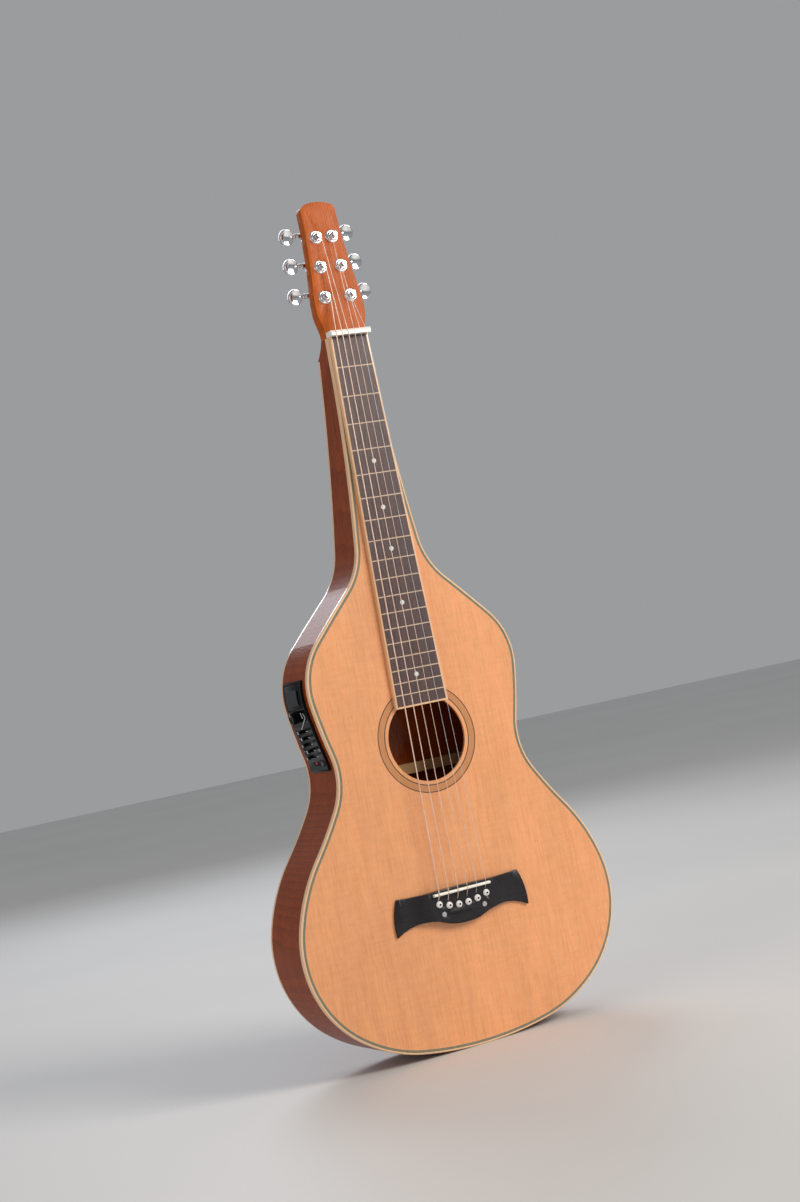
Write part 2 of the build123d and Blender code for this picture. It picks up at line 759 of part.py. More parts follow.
def make_post(index):
    """Post with its gear wheel and the turns of string wound on it."""
    x, up = post_place(index)[1:]
    shaft = rod(on_headstock(x, up, post_bottom), on_headstock(x, up, post_top), post_radius)
    eye = rod(on_headstock(x, up - 6, 7.6), on_headstock(x, up + 6, 7.6), 0.9)
    gear_low = worm_depth - gear_thickness / 2
    face = Circle(gear_radius)
    notch_step = 360 / gear_teeth
    for tooth in range(gear_teeth):
        face = face - Rot(0, 0, (tooth + 0.5) * notch_step) * Pos(gear_radius, 0) * Circle(0.62)
    gear_plane = Plane(origin=on_headstock(x, up, gear_low), x_dir=(1, 0, 0), z_dir=face_plane.z_dir)
    gear = gear_plane * extrude(face, amount=gear_thickness)
    radius = string_diameters[index] / 2
    post = shaft - eye + gear
    for turn in range(wrap_turns):
        height = wrap_height - 2 * turn * radius
        if height - radius > 3.1:
            loop_plane = Plane(origin=on_headstock(x, up, height), x_dir=(1, 0, 0), z_dir=face_plane.z_dir)
            post = post + loop_plane * Torus(post_radius + 0.85 * radius, radius * 0.96)
    return [post]


def make_button(index):
    """Oval tuner button on its worm shaft."""
    side, x, up = post_place(index)
    centre = on_headstock(x + side * button_reach, up + worm_offset, worm_depth)
    turned = Plane(origin=centre, x_dir=(side, 0, 0), z_dir=face_plane.z_dir)
    flat = Ellipse(button_half_across, button_half_long)
    oval = turned * extrude(flat, amount=button_half_thick, both=True)
    oval = chamfer(oval.edges().filter_by(GeomType.ELLIPSE), 1.9)
    shaft = rod(on_headstock(x - side * 5.0, up + worm_offset, worm_depth), centre, shaft_radius)
    boss = rod(on_headstock(x + side * 16.8, up + worm_offset, worm_depth), centre, 2.9)
    return oval + shaft + boss


# ---------------------------------------------------------------- preamp
def panel_slab(low_proud, high_proud, y_range, z_range):
    """Curved plate that follows the bass side, between two heights off its outer face."""
    strip = slab(band_face(-high_proud, -low_proud), y_range[0], y_range[1])
    return strip & block((-200, -50), (-10, 200), z_range)


def rounded_window(y_range, z_range, radius, x_range=(-160, -60)):
    """Block along x with rounded corners in the (y, z) plane."""
    width, height = y_range[1] - y_range[0], z_range[1] - z_range[0]
    centre = ((y_range[0] + y_range[1]) / 2, (z_range[0] + z_range[1]) / 2)
    face = Pos(*centre) * RectangleRounded(width, height, radius)
    drawn = Plane.YZ * Location((0, 0, x_range[0])) * face
    return extrude(drawn, amount=x_range[1] - x_range[0], dir=(1, 0, 0))


slider_slot_width = 1.6
stem_thickness = 1.2
stem_length = 3.0
stem_depth = 7.0
cap_size = (6.0, 3.4, 3.2)     # along the slot, up the panel, out of it
cap_lift = 0.35


def slider_slots():
    """Slots through the panel and into the case for the five sliders' stems."""
    slots = []
    length = 2 * slider_travel + stem_length + 1.0
    for z in slider_z:
        plane = side_plane(slider_middle_y, z)
        slots.append(plane * Pos(0, 0, -3) * Box(length, slider_slot_width, 14))
    return slots


def knob_bore():
    """Bore for the volume knob's shaft."""
    plane = side_plane(knob_y, knob_z)
    return plane * Pos(0, 0, -2) * Cylinder(3.0 + running_gap, 16)


def button_bore():
    """Bore for the tuner's push button."""
    plane = side_plane(tuner_button_y, tuner_button_z)
    return plane * Pos(0, 0, -2) * Cylinder(tuner_button_radius + running_gap, 12)


def led_bore():
    """Hole for the small lamp."""
    return side_plane(led_y, led_z) * Cylinder(1.5, 12)


def door_opening():
    """Opening for the battery door."""
    y_range = (door_y[0] - door_gap, door_y[1] + door_gap)
    return block((-160, -90), y_range, (door_z[0] - door_gap, door_z[1] + door_gap))


hinge_point = outline_at(door_z[1] - hinge_radius - 0.3, panel_proud - hinge_radius)[0]


def hinge_pin(radius, y_low, y_high):
    """Round bar along the battery door's hinge line."""
    return rod((hinge_point.X, y_low, hinge_point.Z), (hinge_point.X, y_high, hinge_point.Z), radius)


def make_panel():
    """Glossy curved panel over the case, with a raised rim on its front edge."""
    plate = panel_slab(0, panel_proud, panel_y, panel_z) & rounded_window(panel_y, panel_z, 3.0)
    rim_y = (panel_y[0] + 0.6, panel_y[0] + 2.6)
    rim = panel_slab(panel_proud, panel_proud + 0.9, rim_y, (panel_z[0] + 2.5, panel_z[1] - 2.5))
    shaft_ends = hinge_pin(hinge_pin_radius + running_gap, door_y[0] - 2.2, door_y[1] + 2.2)
    cutters = slider_slots() + [knob_bore(), button_bore(), led_bore(), door_opening(), shaft_ends]
    return cut_all(plate + rim, cutters)


battery_size = (48.5, 17.5, 26.5)
battery_y = 38.5
battery_z = 245.4


def battery_room(gap):
    """Space of the battery, grown by gap, as a block reaching in from the side."""
    face_x = outline_at(battery_z)[0].X + 3.0
    return block((face_x - gap, face_x + battery_size[0] + gap),
                 (battery_y - battery_size[1] / 2 - gap, battery_y + battery_size[1] / 2 + gap),
                 (battery_z - battery_size[2] / 2 - gap, battery_z + battery_size[2] / 2 + gap))


def make_case():
    """Electronics case behind the panel, with the battery's compartment."""
    y_range = (panel_y[0] + case_margin, panel_y[1] - case_margin)
    z_low, z_high = panel_z[0] + case_margin, panel_z[1] - case_margin
    wall = door_z[0] - 2.7
    low_face = outline_at(190)[0].X
    high_face = outline_at(battery_z)[0].X
    shallow = block((-160, low_face + case_depth_low), y_range, (z_low, wall))
    deep = block((-160, high_face + case_depth_battery), y_range, (wall, z_high))
    solid = (shallow + deep) & slab(outer_face, -5, 100)
    room = battery_room(0.3)
    mouth = block((-160, outline_at(battery_z)[0].X + 6), (battery_y - 9.0, battery_y + 9.0),
                  (battery_z - 13.55, battery_z + 13.55))
    cutters = slider_slots() + [knob_bore(), button_bore(), led_bore(), room, mouth]
    return cut_all(solid, cutters)


def make_battery_door():
    """Hinged battery door, following the panel's curve, with a raised catch bar."""
    y_range, z_range = door_y, (door_z[0], hinge_point.Z)
    plate = panel_slab(0.2, panel_proud, y_range, z_range)
    barrel = hinge_pin(hinge_radius, y_range[0], y_range[1])
    pin = hinge_pin(hinge_pin_radius, y_range[0] - 2.0, y_range[1] + 2.0)
    catch = panel_slab(panel_proud, panel_proud + 1.2, (24.6, 27.4), (236.0, 253.0))
    return plate + barrel + pin + catch


def make_volume_knob():
    """Round volume knob with a pointer groove and a stub shaft."""
    plane = side_plane(knob_y, knob_z)
    base = panel_proud + 0.4
    body = plane * Pos(0, 0, base + knob_height / 2) * Cylinder(knob_radius, knob_height)
    body = chamfer(body.faces().sort_by(Axis.X)[0].edges(), 0.9)
    shaft = plane * Pos(0, 0, (base - 9) / 2) * Cylinder(3.0, base + 9)
    groove = plane * Pos(0, 4.6, base + knob_height) * Box(1.0, 6.0, 1.2)
    return (body + shaft) - groove


def make_slider(index):
    """Slider cap and stem of one tone control."""
    plane = side_plane(slider_rest_y[index], slider_z[index])
    base = panel_proud + cap_lift
    cap = plane * Pos(0, 0, base + cap_size[2] / 2) * Box(*cap_size)
    stem = plane * Pos(0, 0, (base - stem_depth) / 2) * Box(stem_length, stem_thickness, base + stem_depth)
    groove = plane * Pos(0, 0, base + cap_size[2]) * Box(0.7, cap_size[1] + 1, 0.7)
    return (cap + stem) - groove


def make_tuner_button():
    """Push button that switches the built-in tuner."""
    plane = side_plane(tuner_button_y, tuner_button_z)
    top = panel_proud + 1.6
    return plane * Pos(0, 0, (top - 4) / 2) * Cylinder(tuner_button_radius, top + 4)


def make_lamp():
    """Small lamp, domed just above the panel."""
    plane = side_plane(led_y, led_z)
    return plane * Pos(0, 0, 0) * Cylinder(1.5, 4.8) + plane * Pos(0, 0, 2.4) * Sphere(1.5)


def make_leads():
    """Pickup lead from the saddle to the case, and output lead from the case to the end jack."""
    case_bottom = panel_z[0] + case_margin
    case_x = outline_at(190)[0].X + 24.0
    pickup_route = [(lead_hole_x, -bridge_height + bridge_slot_depth, 0), (lead_hole_x, 22, 0), (-42, 33, 26),
                    (-62, 38, 62), (-84, 42, 98), (case_x, 40, 130), (case_x, 40, case_bottom)]
    output_route = [(case_x - 8, 50, case_bottom), (case_x - 8, 50, 120), (-112, 56, 70), (-100, 60, 15),
                    (-74, 58, -45), (-36, 50, -95), (0, jack_y, -120),
                    (0, jack_y, tail_z + 0.4 + jack_length)]
    solids = []
    for route in (pickup_route, output_route):
        radii = corner_radii(route)
        path = FilletPolyline(*route, radius=radii)
        start = Plane(origin=path @ 0, z_dir=path % 0)
        solids.append(sweep(start * Circle(lead_radius), path=path))
    return solids


def corner_radii(route):
    """Tangent arc radius at each corner of a route, kept within 0.45 of the shorter run."""
    radii = []
    for before, corner, after in zip(route, route[1:], route[2:]):
        run_in = Vector(*corner) - Vector(*before)
        run_out = Vector(*after) - Vector(*corner)
        half_turn = radians(run_in.get_angle(run_out)) / 2
        tangent = sin(half_turn) / cos(half_turn)
        radii.append(0.45 * min(run_in.length, run_out.length) / tangent)
    return radii


# ---------------------------------------------------------------- assembly and export
def build_nodes():
    """Every named piece of the guitar, as lists of solids in the saddle frame."""
    top_binding, back_binding = make_bindings()
    side_bass, side_treble = make_sides(back_binding)
    tail_block = make_tail_block()
    case = make_case()
    case_clearance = block((-160, -60), (panel_y[0] + 3, panel_y[1] - 3), (panel_z[0] + 3, panel_z[1] - 3))
    top_lining, back_lining = make_linings(case_clearance)
    board, board_edge, fret_lines, dots = make_fingerboard()
    headstock = make_headstock()
    nodes = {
        "soundboard": [make_soundboard()],
        "back_plate": [make_back()],
        "side_bass": [side_bass],
        "side_treble": [side_treble],
        "top_binding": [top_binding],
        "back_binding": [back_binding],
        "top_purfling": [purfling],
        "rosette_lines": rosette_lines,
        "rosette_band": [rosette_band],
        "tail_block": [tail_block],
        "neck_block": [make_neck_block()],
        "top_linings": [top_lining],
        "back_linings": [back_lining],
        "soundboard_braces": make_soundboard_braces(),
        "back_braces": make_back_braces(),
        "bridge_plate": [make_bridge_plate()],
        "fingerboard": [board],
        "fingerboard_binding": [board_edge],
        "fret_lines": fret_lines,
        "position_dots": dots,
        "nut": [make_nut()],
        "headstock": [headstock],
        "bridge": [make_bridge()],
        "saddle": [make_saddle()],
        "saddle_pickup": [make_pickup()],
        "bridge_pins": [make_pin(index) for index in range(6)],
        "bridge_dots": [rod((x, -bridge_height, z), (x, -bridge_height + 1.5, z), bridge_dot_radius)
                        for x, z in bridge_dot_places],
        "wound_strings": [string_solid(index) for index in range(wound_count)],
        "plain_strings": [string_solid(index) for index in range(wound_count, 6)],
        "tuner_bushings": [make_bushing(index) for index in range(6)],
        "tuner_housings": [make_housing(index) - headstock for index in range(6)],
        "tuner_screws": [make_screw(index) for index in range(6)],
        "preamp_panel": [make_panel()],
        "preamp_case": [case],
        "battery": [battery_room(0)],
        "battery_door": [make_battery_door()],
        "volume_knob": [make_volume_knob()],
        "tuner_button": [make_tuner_button()],
        "battery_lamp": [make_lamp()],
        "end_jack": [make_jack()],
        "pickup_leads": make_leads(),
    }
    for index in range(6):
        nodes[f"post_{index + 1}"] = make_post(index)
        nodes[f"button_{index + 1}"] = [make_button(index)]
    for index in range(len(slider_z)):
        nodes[f"tone_slider_{index + 1}"] = [make_slider(index)]
    return nodes


def export_nodes(nodes):
    """Write one STEP file for each node, moved to the standing position."""
    os.makedirs("parts", exist_ok=True)
    for name, solids in nodes.items():
        pieces = []
        for shape in solids:
            pieces.extend((place * shape).solids())
        export_step(Compound(children=pieces), f"parts/{name}.step")


all_nodes = build_nodes()
export_nodes(all_nodes)
print(len(all_nodes), "nodes")
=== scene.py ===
"""Visual model of a hollow-neck acoustic lap steel guitar, dressed on its CAD frame.

The guitar stands on its tail with the strings running up +Z, the soundboard facing -Y, the
treble side on +X and the preamp let into the bass side on -X. Lengths in the dataclasses are
millimetres from the saddle line on the soundboard's face; meshes are metres in the CAD's frame.
"""

import logging
from dataclasses import dataclass
from enum import Enum
from math import cos, pi, radians, sin, sqrt
from typing import Callable, Iterable, Optional, Sequence, Union

import bmesh
import bpy
from mathutils import Matrix, Vector


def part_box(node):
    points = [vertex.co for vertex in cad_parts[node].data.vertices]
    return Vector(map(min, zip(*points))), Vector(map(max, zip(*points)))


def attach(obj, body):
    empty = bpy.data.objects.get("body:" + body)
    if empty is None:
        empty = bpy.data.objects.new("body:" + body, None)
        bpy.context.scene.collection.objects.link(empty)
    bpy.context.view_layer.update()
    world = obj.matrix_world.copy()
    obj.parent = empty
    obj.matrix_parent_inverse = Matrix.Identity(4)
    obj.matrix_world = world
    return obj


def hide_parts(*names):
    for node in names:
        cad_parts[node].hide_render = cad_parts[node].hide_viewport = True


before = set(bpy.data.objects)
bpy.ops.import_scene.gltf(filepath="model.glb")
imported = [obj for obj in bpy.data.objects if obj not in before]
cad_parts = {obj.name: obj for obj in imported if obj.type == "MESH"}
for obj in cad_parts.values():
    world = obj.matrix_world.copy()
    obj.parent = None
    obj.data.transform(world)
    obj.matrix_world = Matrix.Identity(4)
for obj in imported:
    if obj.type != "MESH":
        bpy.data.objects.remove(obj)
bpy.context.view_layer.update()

LOG = logging.getLogger("guitar")
MM = 0.001
WELD = 2e-6                      # points closer than this, in metres, are one
FLAT_WITHIN = radians(0.6)       # faces that meet at less than this are one
SHARP_FROM = radians(38)         # edges that bend by more than this are eased
Colour = tuple[float, float, float, float]
Profile = Sequence[tuple[float, float]]
Mesh = tuple[list[Vector], list[tuple[int, ...]]]

SADDLE_LINE = Vector((0.0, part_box("soundboard")[0].y, (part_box("saddle")[0].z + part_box("saddle")[1].z) / 2))


def spot(x: float, y: float, z: float) -> Vector:
    """A place in the frame.

    Args:
        x: Millimetres towards the treble side.
        y: Millimetres back from the soundboard's face.
        z: Millimetres up the strings from the saddle line.

    Returns:
        The same place in metres in the CAD's frame.
    """
    return SADDLE_LINE + Vector((x, y, z)) * MM


# ---------------------------------------------------------------- node tree helpers
def linear(hex_colour: str) -> Colour:
    """Turn an sRGB hex colour into linear values.

    Args:
        hex_colour: Six hex digits.

    Returns:
        Linear red, green, blue and an alpha of one.
    """
    parts = [int(hex_colour[i:i + 2], 16) / 255 for i in (0, 2, 4)]
    turned = [p / 12.92 if p <= 0.04045 else ((p + 0.055) / 1.055) ** 2.4 for p in parts]
    return turned[0], turned[1], turned[2], 1.0


def add_node(tree: bpy.types.NodeTree, kind: str, settings: Optional[dict] = None,
             links: Optional[dict] = None) -> bpy.types.Node:
    """Add one node with its settings and links.

    Args:
        tree: Node tree that gets the node.
        kind: Blender's node type name.
        settings: Values by socket name or number, or by property name; "stops" fills a colour ramp.
        links: Output sockets by the name or number of the input that they feed.

    Returns:
        The new node.
    """
    node = tree.nodes.new(kind)
    for name, value in (settings or {}).items():
        if name == "stops":
            ramp = node.color_ramp.elements
            while len(ramp) < len(value):
                ramp.new(0.5)
            for element, (place, colour) in zip(ramp, value):
                element.position = place
                element.color = linear(colour) if isinstance(colour, str) else (colour, colour, colour, 1.0)
        elif isinstance(name, int) or name in node.inputs:
            node.inputs[name].default_value = value
        else:
            setattr(node, name, value)
    for name, source in (links or {}).items():
        tree.links.new(source, node.inputs[name])
    return node


def new_material(name: str) -> tuple[bpy.types.Material, bpy.types.NodeTree, bpy.types.Node]:
    """Start a material.

    Args:
        name: Name of the material, for the real stuff that it is.

    Returns:
        The material, its node tree and its shader node.
    """
    material = bpy.data.materials.new(name)
    material.use_nodes = True
    tree = material.node_tree
    return material, tree, tree.nodes["Principled BSDF"]


MIX_RGB = {"data_type": "RGBA", "clamp_factor": True}


class Grain(Enum):
    """Which way a piece of timber was sawn."""
    UPRIGHT = "along the strings"
    ACROSS = "across the body"


@dataclass(frozen=True)
class Timber:
    """A planed and finished wood.

    Sizes are real ones: the spacing of growth lines, and the width and length of pores.
    """
    name: str
    pale: str
    body: str
    dark: str
    line_mm: float
    line_depth: float
    streak_mm: float
    streak_depth: float
    pore_mm: float
    pore_depth: float
    silk: float = 0.0
    ribbon: float = 0.0
    roughness: float = 0.45
    coat: float = 0.0
    coat_roughness: float = 0.05
    bump_mm: float = 0.03
    sheen_level: float = 0.5
    grain: Grain = Grain.UPRIGHT

    def make(self) -> bpy.types.Material:
        """Build the node tree of this wood.

        Returns:
            The finished material.
        """
        material, tree, shader = new_material(self.name)
        place = add_node(tree, "ShaderNodeTexCoord").outputs["Object"]
        turn = (0.0, pi / 2, 0.0) if self.grain is Grain.ACROSS else (0.0, 0.0, 0.0)
        turned = add_node(tree, "ShaderNodeMapping", {"Rotation": turn}, {"Vector": place}).outputs[0]
        # a board's lines wander a few millimetres over its length
        wander = add_node(tree, "ShaderNodeTexNoise", {"Scale": 3.5, "Detail": 2.0}, {"Vector": turned})
        swayed = add_node(tree, "ShaderNodeVectorMath",
                          {"operation": "MULTIPLY_ADD", 1: (0.012, 0.012, 0.0)},
                          {0: wander.outputs["Color"], 2: turned}).outputs[0]
        fibres, short = [add_node(tree, "ShaderNodeMapping", {"Scale": (1.0, 1.0, along)},
                                  {"Vector": swayed}).outputs[0] for along in (0.03, 0.07)]
        lines = add_node(tree, "ShaderNodeTexWave",
                         {"bands_direction": "X", "wave_profile": "SAW", "Scale": 0.314 / (self.line_mm * MM),
                          "Distortion": 2.2, "Detail": 2.0, "Detail Scale": 0.35},
                         {"Vector": fibres}).outputs["Fac"]
        streaks = add_node(tree, "ShaderNodeTexNoise",
                           {"Scale": 1000 / self.streak_mm, "Detail": 5.0, "Roughness": 0.62},
                           {"Vector": fibres}).outputs["Fac"]
        pores = add_node(tree, "ShaderNodeTexNoise", {"Scale": 1000 / self.pore_mm, "Detail": 1.0},
                         {"Vector": short}).outputs["Fac"]
        pore_mask = add_node(tree, "ShaderNodeValToRGB", {"stops": [(0.60, 0.0), (0.68, 1.0)]},
                             {"Fac": pores}).outputs["Color"]
        broad = add_node(tree, "ShaderNodeTexNoise", {"Scale": 9.0, "Detail": 3.0},
                         {"Vector": add_node(tree, "ShaderNodeMapping", {"Scale": (1.0, 1.0, 0.25)},
                                             {"Vector": turned}).outputs[0]}).outputs["Fac"]
        tone = add_node(tree, "ShaderNodeMix", {**MIX_RGB, 6: linear(self.pale), 7: linear(self.body)},
                        {0: add_node(tree, "ShaderNodeMapRange", {"From Min": 0.34, "From Max": 0.66},
                                     {"Value": streaks}).outputs[0]}).outputs[2]
        darken = {**MIX_RGB, 7: linear(self.dark)}
        line_part = add_node(tree, "ShaderNodeMath", {"operation": "MULTIPLY", 1: self.line_depth},
                             {0: lines}).outputs[0]
        tone = add_node(tree, "ShaderNodeMix", darken, {0: line_part, 6: tone}).outputs[2]
        streak_part = add_node(tree, "ShaderNodeMapRange", {"From Min": 0.52, "From Max": 0.75,
                                                            "To Max": self.streak_depth},
                               {"Value": streaks}).outputs[0]
        tone = add_node(tree, "ShaderNodeMix", darken, {0: streak_part, 6: tone}).outputs[2]
        pore_part = add_node(tree, "ShaderNodeMath", {"operation": "MULTIPLY", 1: self.pore_depth},
                             {0: pore_mask}).outputs[0]
        tone = add_node(tree, "ShaderNodeMix", darken, {0: pore_part, 6: tone}).outputs[2]
        # silk: short bright flecks that lie across the lines; ribbon: broad bands that come and go
        flecks = add_node(tree, "ShaderNodeTexNoise", {"Scale": 260.0, "Detail": 2.0},
                          {"Vector": add_node(tree, "ShaderNodeMapping", {"Scale": (0.22, 0.5, 1.0)},
                                              {"Vector": turned}).outputs[0]}).outputs["Fac"]
        bands = add_node(tree, "ShaderNodeTexNoise", {"Scale": 70.0, "Detail": 1.0},
                         {"Vector": add_node(tree, "ShaderNodeMapping", {"Scale": (1.0, 1.0, 0.12)},
                                             {"Vector": turned}).outputs[0]}).outputs["Fac"]
        value = add_node(tree, "ShaderNodeMapRange", {"From Min": 0.3, "From Max": 0.7, "To Min": 0.93,
                                                      "To Max": 1.05}, {"Value": broad}).outputs[0]
        value = add_node(tree, "ShaderNodeMath", {"operation": "MULTIPLY_ADD", 1: self.silk},
                         {0: flecks, 2: value}).outputs[0]
        value = add_node(tree, "ShaderNodeMath", {"operation": "MULTIPLY_ADD", 1: self.ribbon},
                         {0: bands, 2: value}).outputs[0]
        value = add_node(tree, "ShaderNodeMath",
                         {"operation": "SUBTRACT", 1: (self.silk + self.ribbon) / 2}, {0: value}).outputs[0]
        tone = add_node(tree, "ShaderNodeHueSaturation", {"Saturation": 1.0},
                        {"Color": tone, "Value": value}).outputs[0]
        rough = add_node(tree, "ShaderNodeMapRange",
                         {"To Min": self.roughness - 0.06, "To Max": self.roughness + 0.08},
                         {"Value": streaks}).outputs[0]
        height = add_node(tree, "ShaderNodeMath", {"operation": "MULTIPLY_ADD", 1: -1.0},
                          {0: pore_mask, 2: streaks}).outputs[0]
        bump = add_node(tree, "ShaderNodeBump", {"Strength": 0.6, "Distance": self.bump_mm * MM},
                        {"Height": height}).outputs[0]
        tree.links.new(tone, shader.inputs["Base Color"])
        tree.links.new(rough, shader.inputs["Roughness"])
        tree.links.new(bump, shader.inputs["Normal"])
        shader.inputs["Coat Weight"].default_value = self.coat
        shader.inputs["Coat Roughness"].default_value = self.coat_roughness
        shader.inputs["Specular IOR Level"].default_value = self.sheen_level
        shader.inputs["IOR"].default_value = 1.5
        return material


@dataclass(frozen=True)
class Plated:
    """A plated or drawn metal, with faint wipe marks that break up its reflections."""
    name: str
    colour: str
    worn: str
    roughness: float
    smear: float
    grain_mm: float = 1.2
    bump_mm: float = 0.004
    winding_mm: float = 0.0

    def make(self) -> bpy.types.Material:
        """Build the node tree of this metal.

        Returns:
            The finished material.
        """
        material, tree, shader = new_material(self.name)
        place = add_node(tree, "ShaderNodeTexCoord").outputs["Object"]
        clouds = add_node(tree, "ShaderNodeTexNoise", {"Scale": 110.0, "Detail": 4.0},
                          {"Vector": place}).outputs["Fac"]
        fine = add_node(tree, "ShaderNodeTexNoise", {"Scale": 1000 / self.grain_mm, "Detail": 3.0},
                        {"Vector": place}).outputs["Fac"]
        tone = add_node(tree, "ShaderNodeMix", {**MIX_RGB, 6: linear(self.colour), 7: linear(self.worn)},
                        {0: add_node(tree, "ShaderNodeMapRange", {"From Min": 0.45, "From Max": 0.8},
                                     {"Value": clouds}).outputs[0]}).outputs[2]
        height = fine
        if self.winding_mm:
            # the wrap wire's turns, with painted shade: a ring of dark colour between each pair, where the gap
            # between turns lies in shade
            turns = add_node(tree, "ShaderNodeTexWave",
                             {"bands_direction": "Z", "Scale": 0.314 / (self.winding_mm * MM)},
                             {"Vector": place}).outputs["Fac"]
            painted_groove_shade = add_node(tree, "ShaderNodeMapRange", {"From Max": 0.4, "To Min": 0.4, "To Max": 0.0},
                              {"Value": turns}).outputs[0]
            tone = add_node(tree, "ShaderNodeMix", {**MIX_RGB, 7: linear("8a5a40")},
                            {0: painted_groove_shade, 6: tone}).outputs[2]
            height = turns
        rough = add_node(tree, "ShaderNodeMapRange",
                         {"From Min": 0.3, "From Max": 0.75, "To Min": self.roughness,
                          "To Max": self.roughness + self.smear}, {"Value": clouds}).outputs[0]
        bump = add_node(tree, "ShaderNodeBump", {"Strength": 0.5, "Distance": self.bump_mm * MM},
                        {"Height": height}).outputs[0]
        tree.links.new(tone, shader.inputs["Base Color"])
        tree.links.new(rough, shader.inputs["Roughness"])
        tree.links.new(bump, shader.inputs["Normal"])
        shader.inputs["Metallic"].default_value = 1.0
        return material


@dataclass(frozen=True)
class Moulded:
    """A moulded plastic, rubber or bone: soft mottling, fine texture and a little dust in the gloss."""
    name: str
    colour: str
    mottle: str
    roughness: float
    mottle_mm: float = 4.0
    texture_mm: float = 0.5
    bump_mm: float = 0.01
    coat: float = 0.0
    ior: float = 1.49
    inner: float = 0.0

    def make(self) -> bpy.types.Material:
        """Build the node tree of this plastic.

        Returns:
            The finished material.
        """
        material, tree, shader = new_material(self.name)
        place = add_node(tree, "ShaderNodeTexCoord").outputs["Object"]
        clouds = add_node(tree, "ShaderNodeTexNoise", {"Scale": 1000 / self.mottle_mm / 2.5, "Detail": 3.0},
                          {"Vector": place}).outputs["Fac"]
        fine = add_node(tree, "ShaderNodeTexNoise", {"Scale": 1000 / self.texture_mm, "Detail": 2.0},
                        {"Vector": place}).outputs["Fac"]
        tone = add_node(tree, "ShaderNodeMix", {**MIX_RGB, 6: linear(self.colour), 7: linear(self.mottle)},
                        {0: add_node(tree, "ShaderNodeMapRange", {"From Min": 0.35, "From Max": 0.7},
                                     {"Value": clouds}).outputs[0]}).outputs[2]
        rough = add_node(tree, "ShaderNodeMapRange",
                         {"To Min": self.roughness, "To Max": self.roughness + 0.1},
                         {"Value": clouds}).outputs[0]
        bump = add_node(tree, "ShaderNodeBump", {"Strength": 0.4, "Distance": self.bump_mm * MM},
                        {"Height": fine}).outputs[0]
        tree.links.new(tone, shader.inputs["Base Color"])
        tree.links.new(rough, shader.inputs["Roughness"])
        tree.links.new(bump, shader.inputs["Normal"])
        shader.inputs["Coat Weight"].default_value = self.coat
        shader.inputs["Coat Roughness"].default_value = 0.05
        shader.inputs["IOR"].default_value = self.ior
        shader.inputs["Subsurface Weight"].default_value = self.inner
        shader.inputs["Subsurface Scale"].default_value = 0.001
        return material


@dataclass(frozen=True)
class Pearl:
    """Sawn shell: flakes that flash grey, rose and green under a polished face."""
    name: str
    fold: str
    bright: str
    cool: str
    rose: str

    def make(self) -> bpy.types.Material:
        """Build the node tree of the shell.

        Returns:
            The finished material.
        """
        material, tree, shader = new_material(self.name)
        place = add_node(tree, "ShaderNodeTexCoord").outputs["Object"]
        flakes = add_node(tree, "ShaderNodeTexVoronoi", {"Scale": 900.0, "Randomness": 1.0},
                          {"Vector": place})
        folds = add_node(tree, "ShaderNodeTexNoise", {"Scale": 420.0, "Detail": 3.0, "Distortion": 1.4},
                         {"Vector": place}).outputs["Fac"]
        tone = add_node(tree, "ShaderNodeValToRGB",
                        {"stops": [(0.3, self.fold), (0.45, self.bright), (0.55, self.cool),
                                   (0.7, self.rose)]},
                        {"Fac": folds}).outputs["Color"]
        glint = add_node(tree, "ShaderNodeMix", {**MIX_RGB, 0: 0.25, "blend_type": "SOFT_LIGHT"},
                         {6: tone, 7: flakes.outputs["Color"]}).outputs[2]
        bump = add_node(tree, "ShaderNodeBump", {"Strength": 0.3, "Distance": 0.03 * MM},
                        {"Height": folds}).outputs[0]
        tree.links.new(glint, shader.inputs["Base Color"])
        tree.links.new(bump, shader.inputs["Normal"])
        shader.inputs["Roughness"].default_value = 0.22
        shader.inputs["Coat Weight"].default_value = 0.8
        shader.inputs["IOR"].default_value = 1.53
        return material


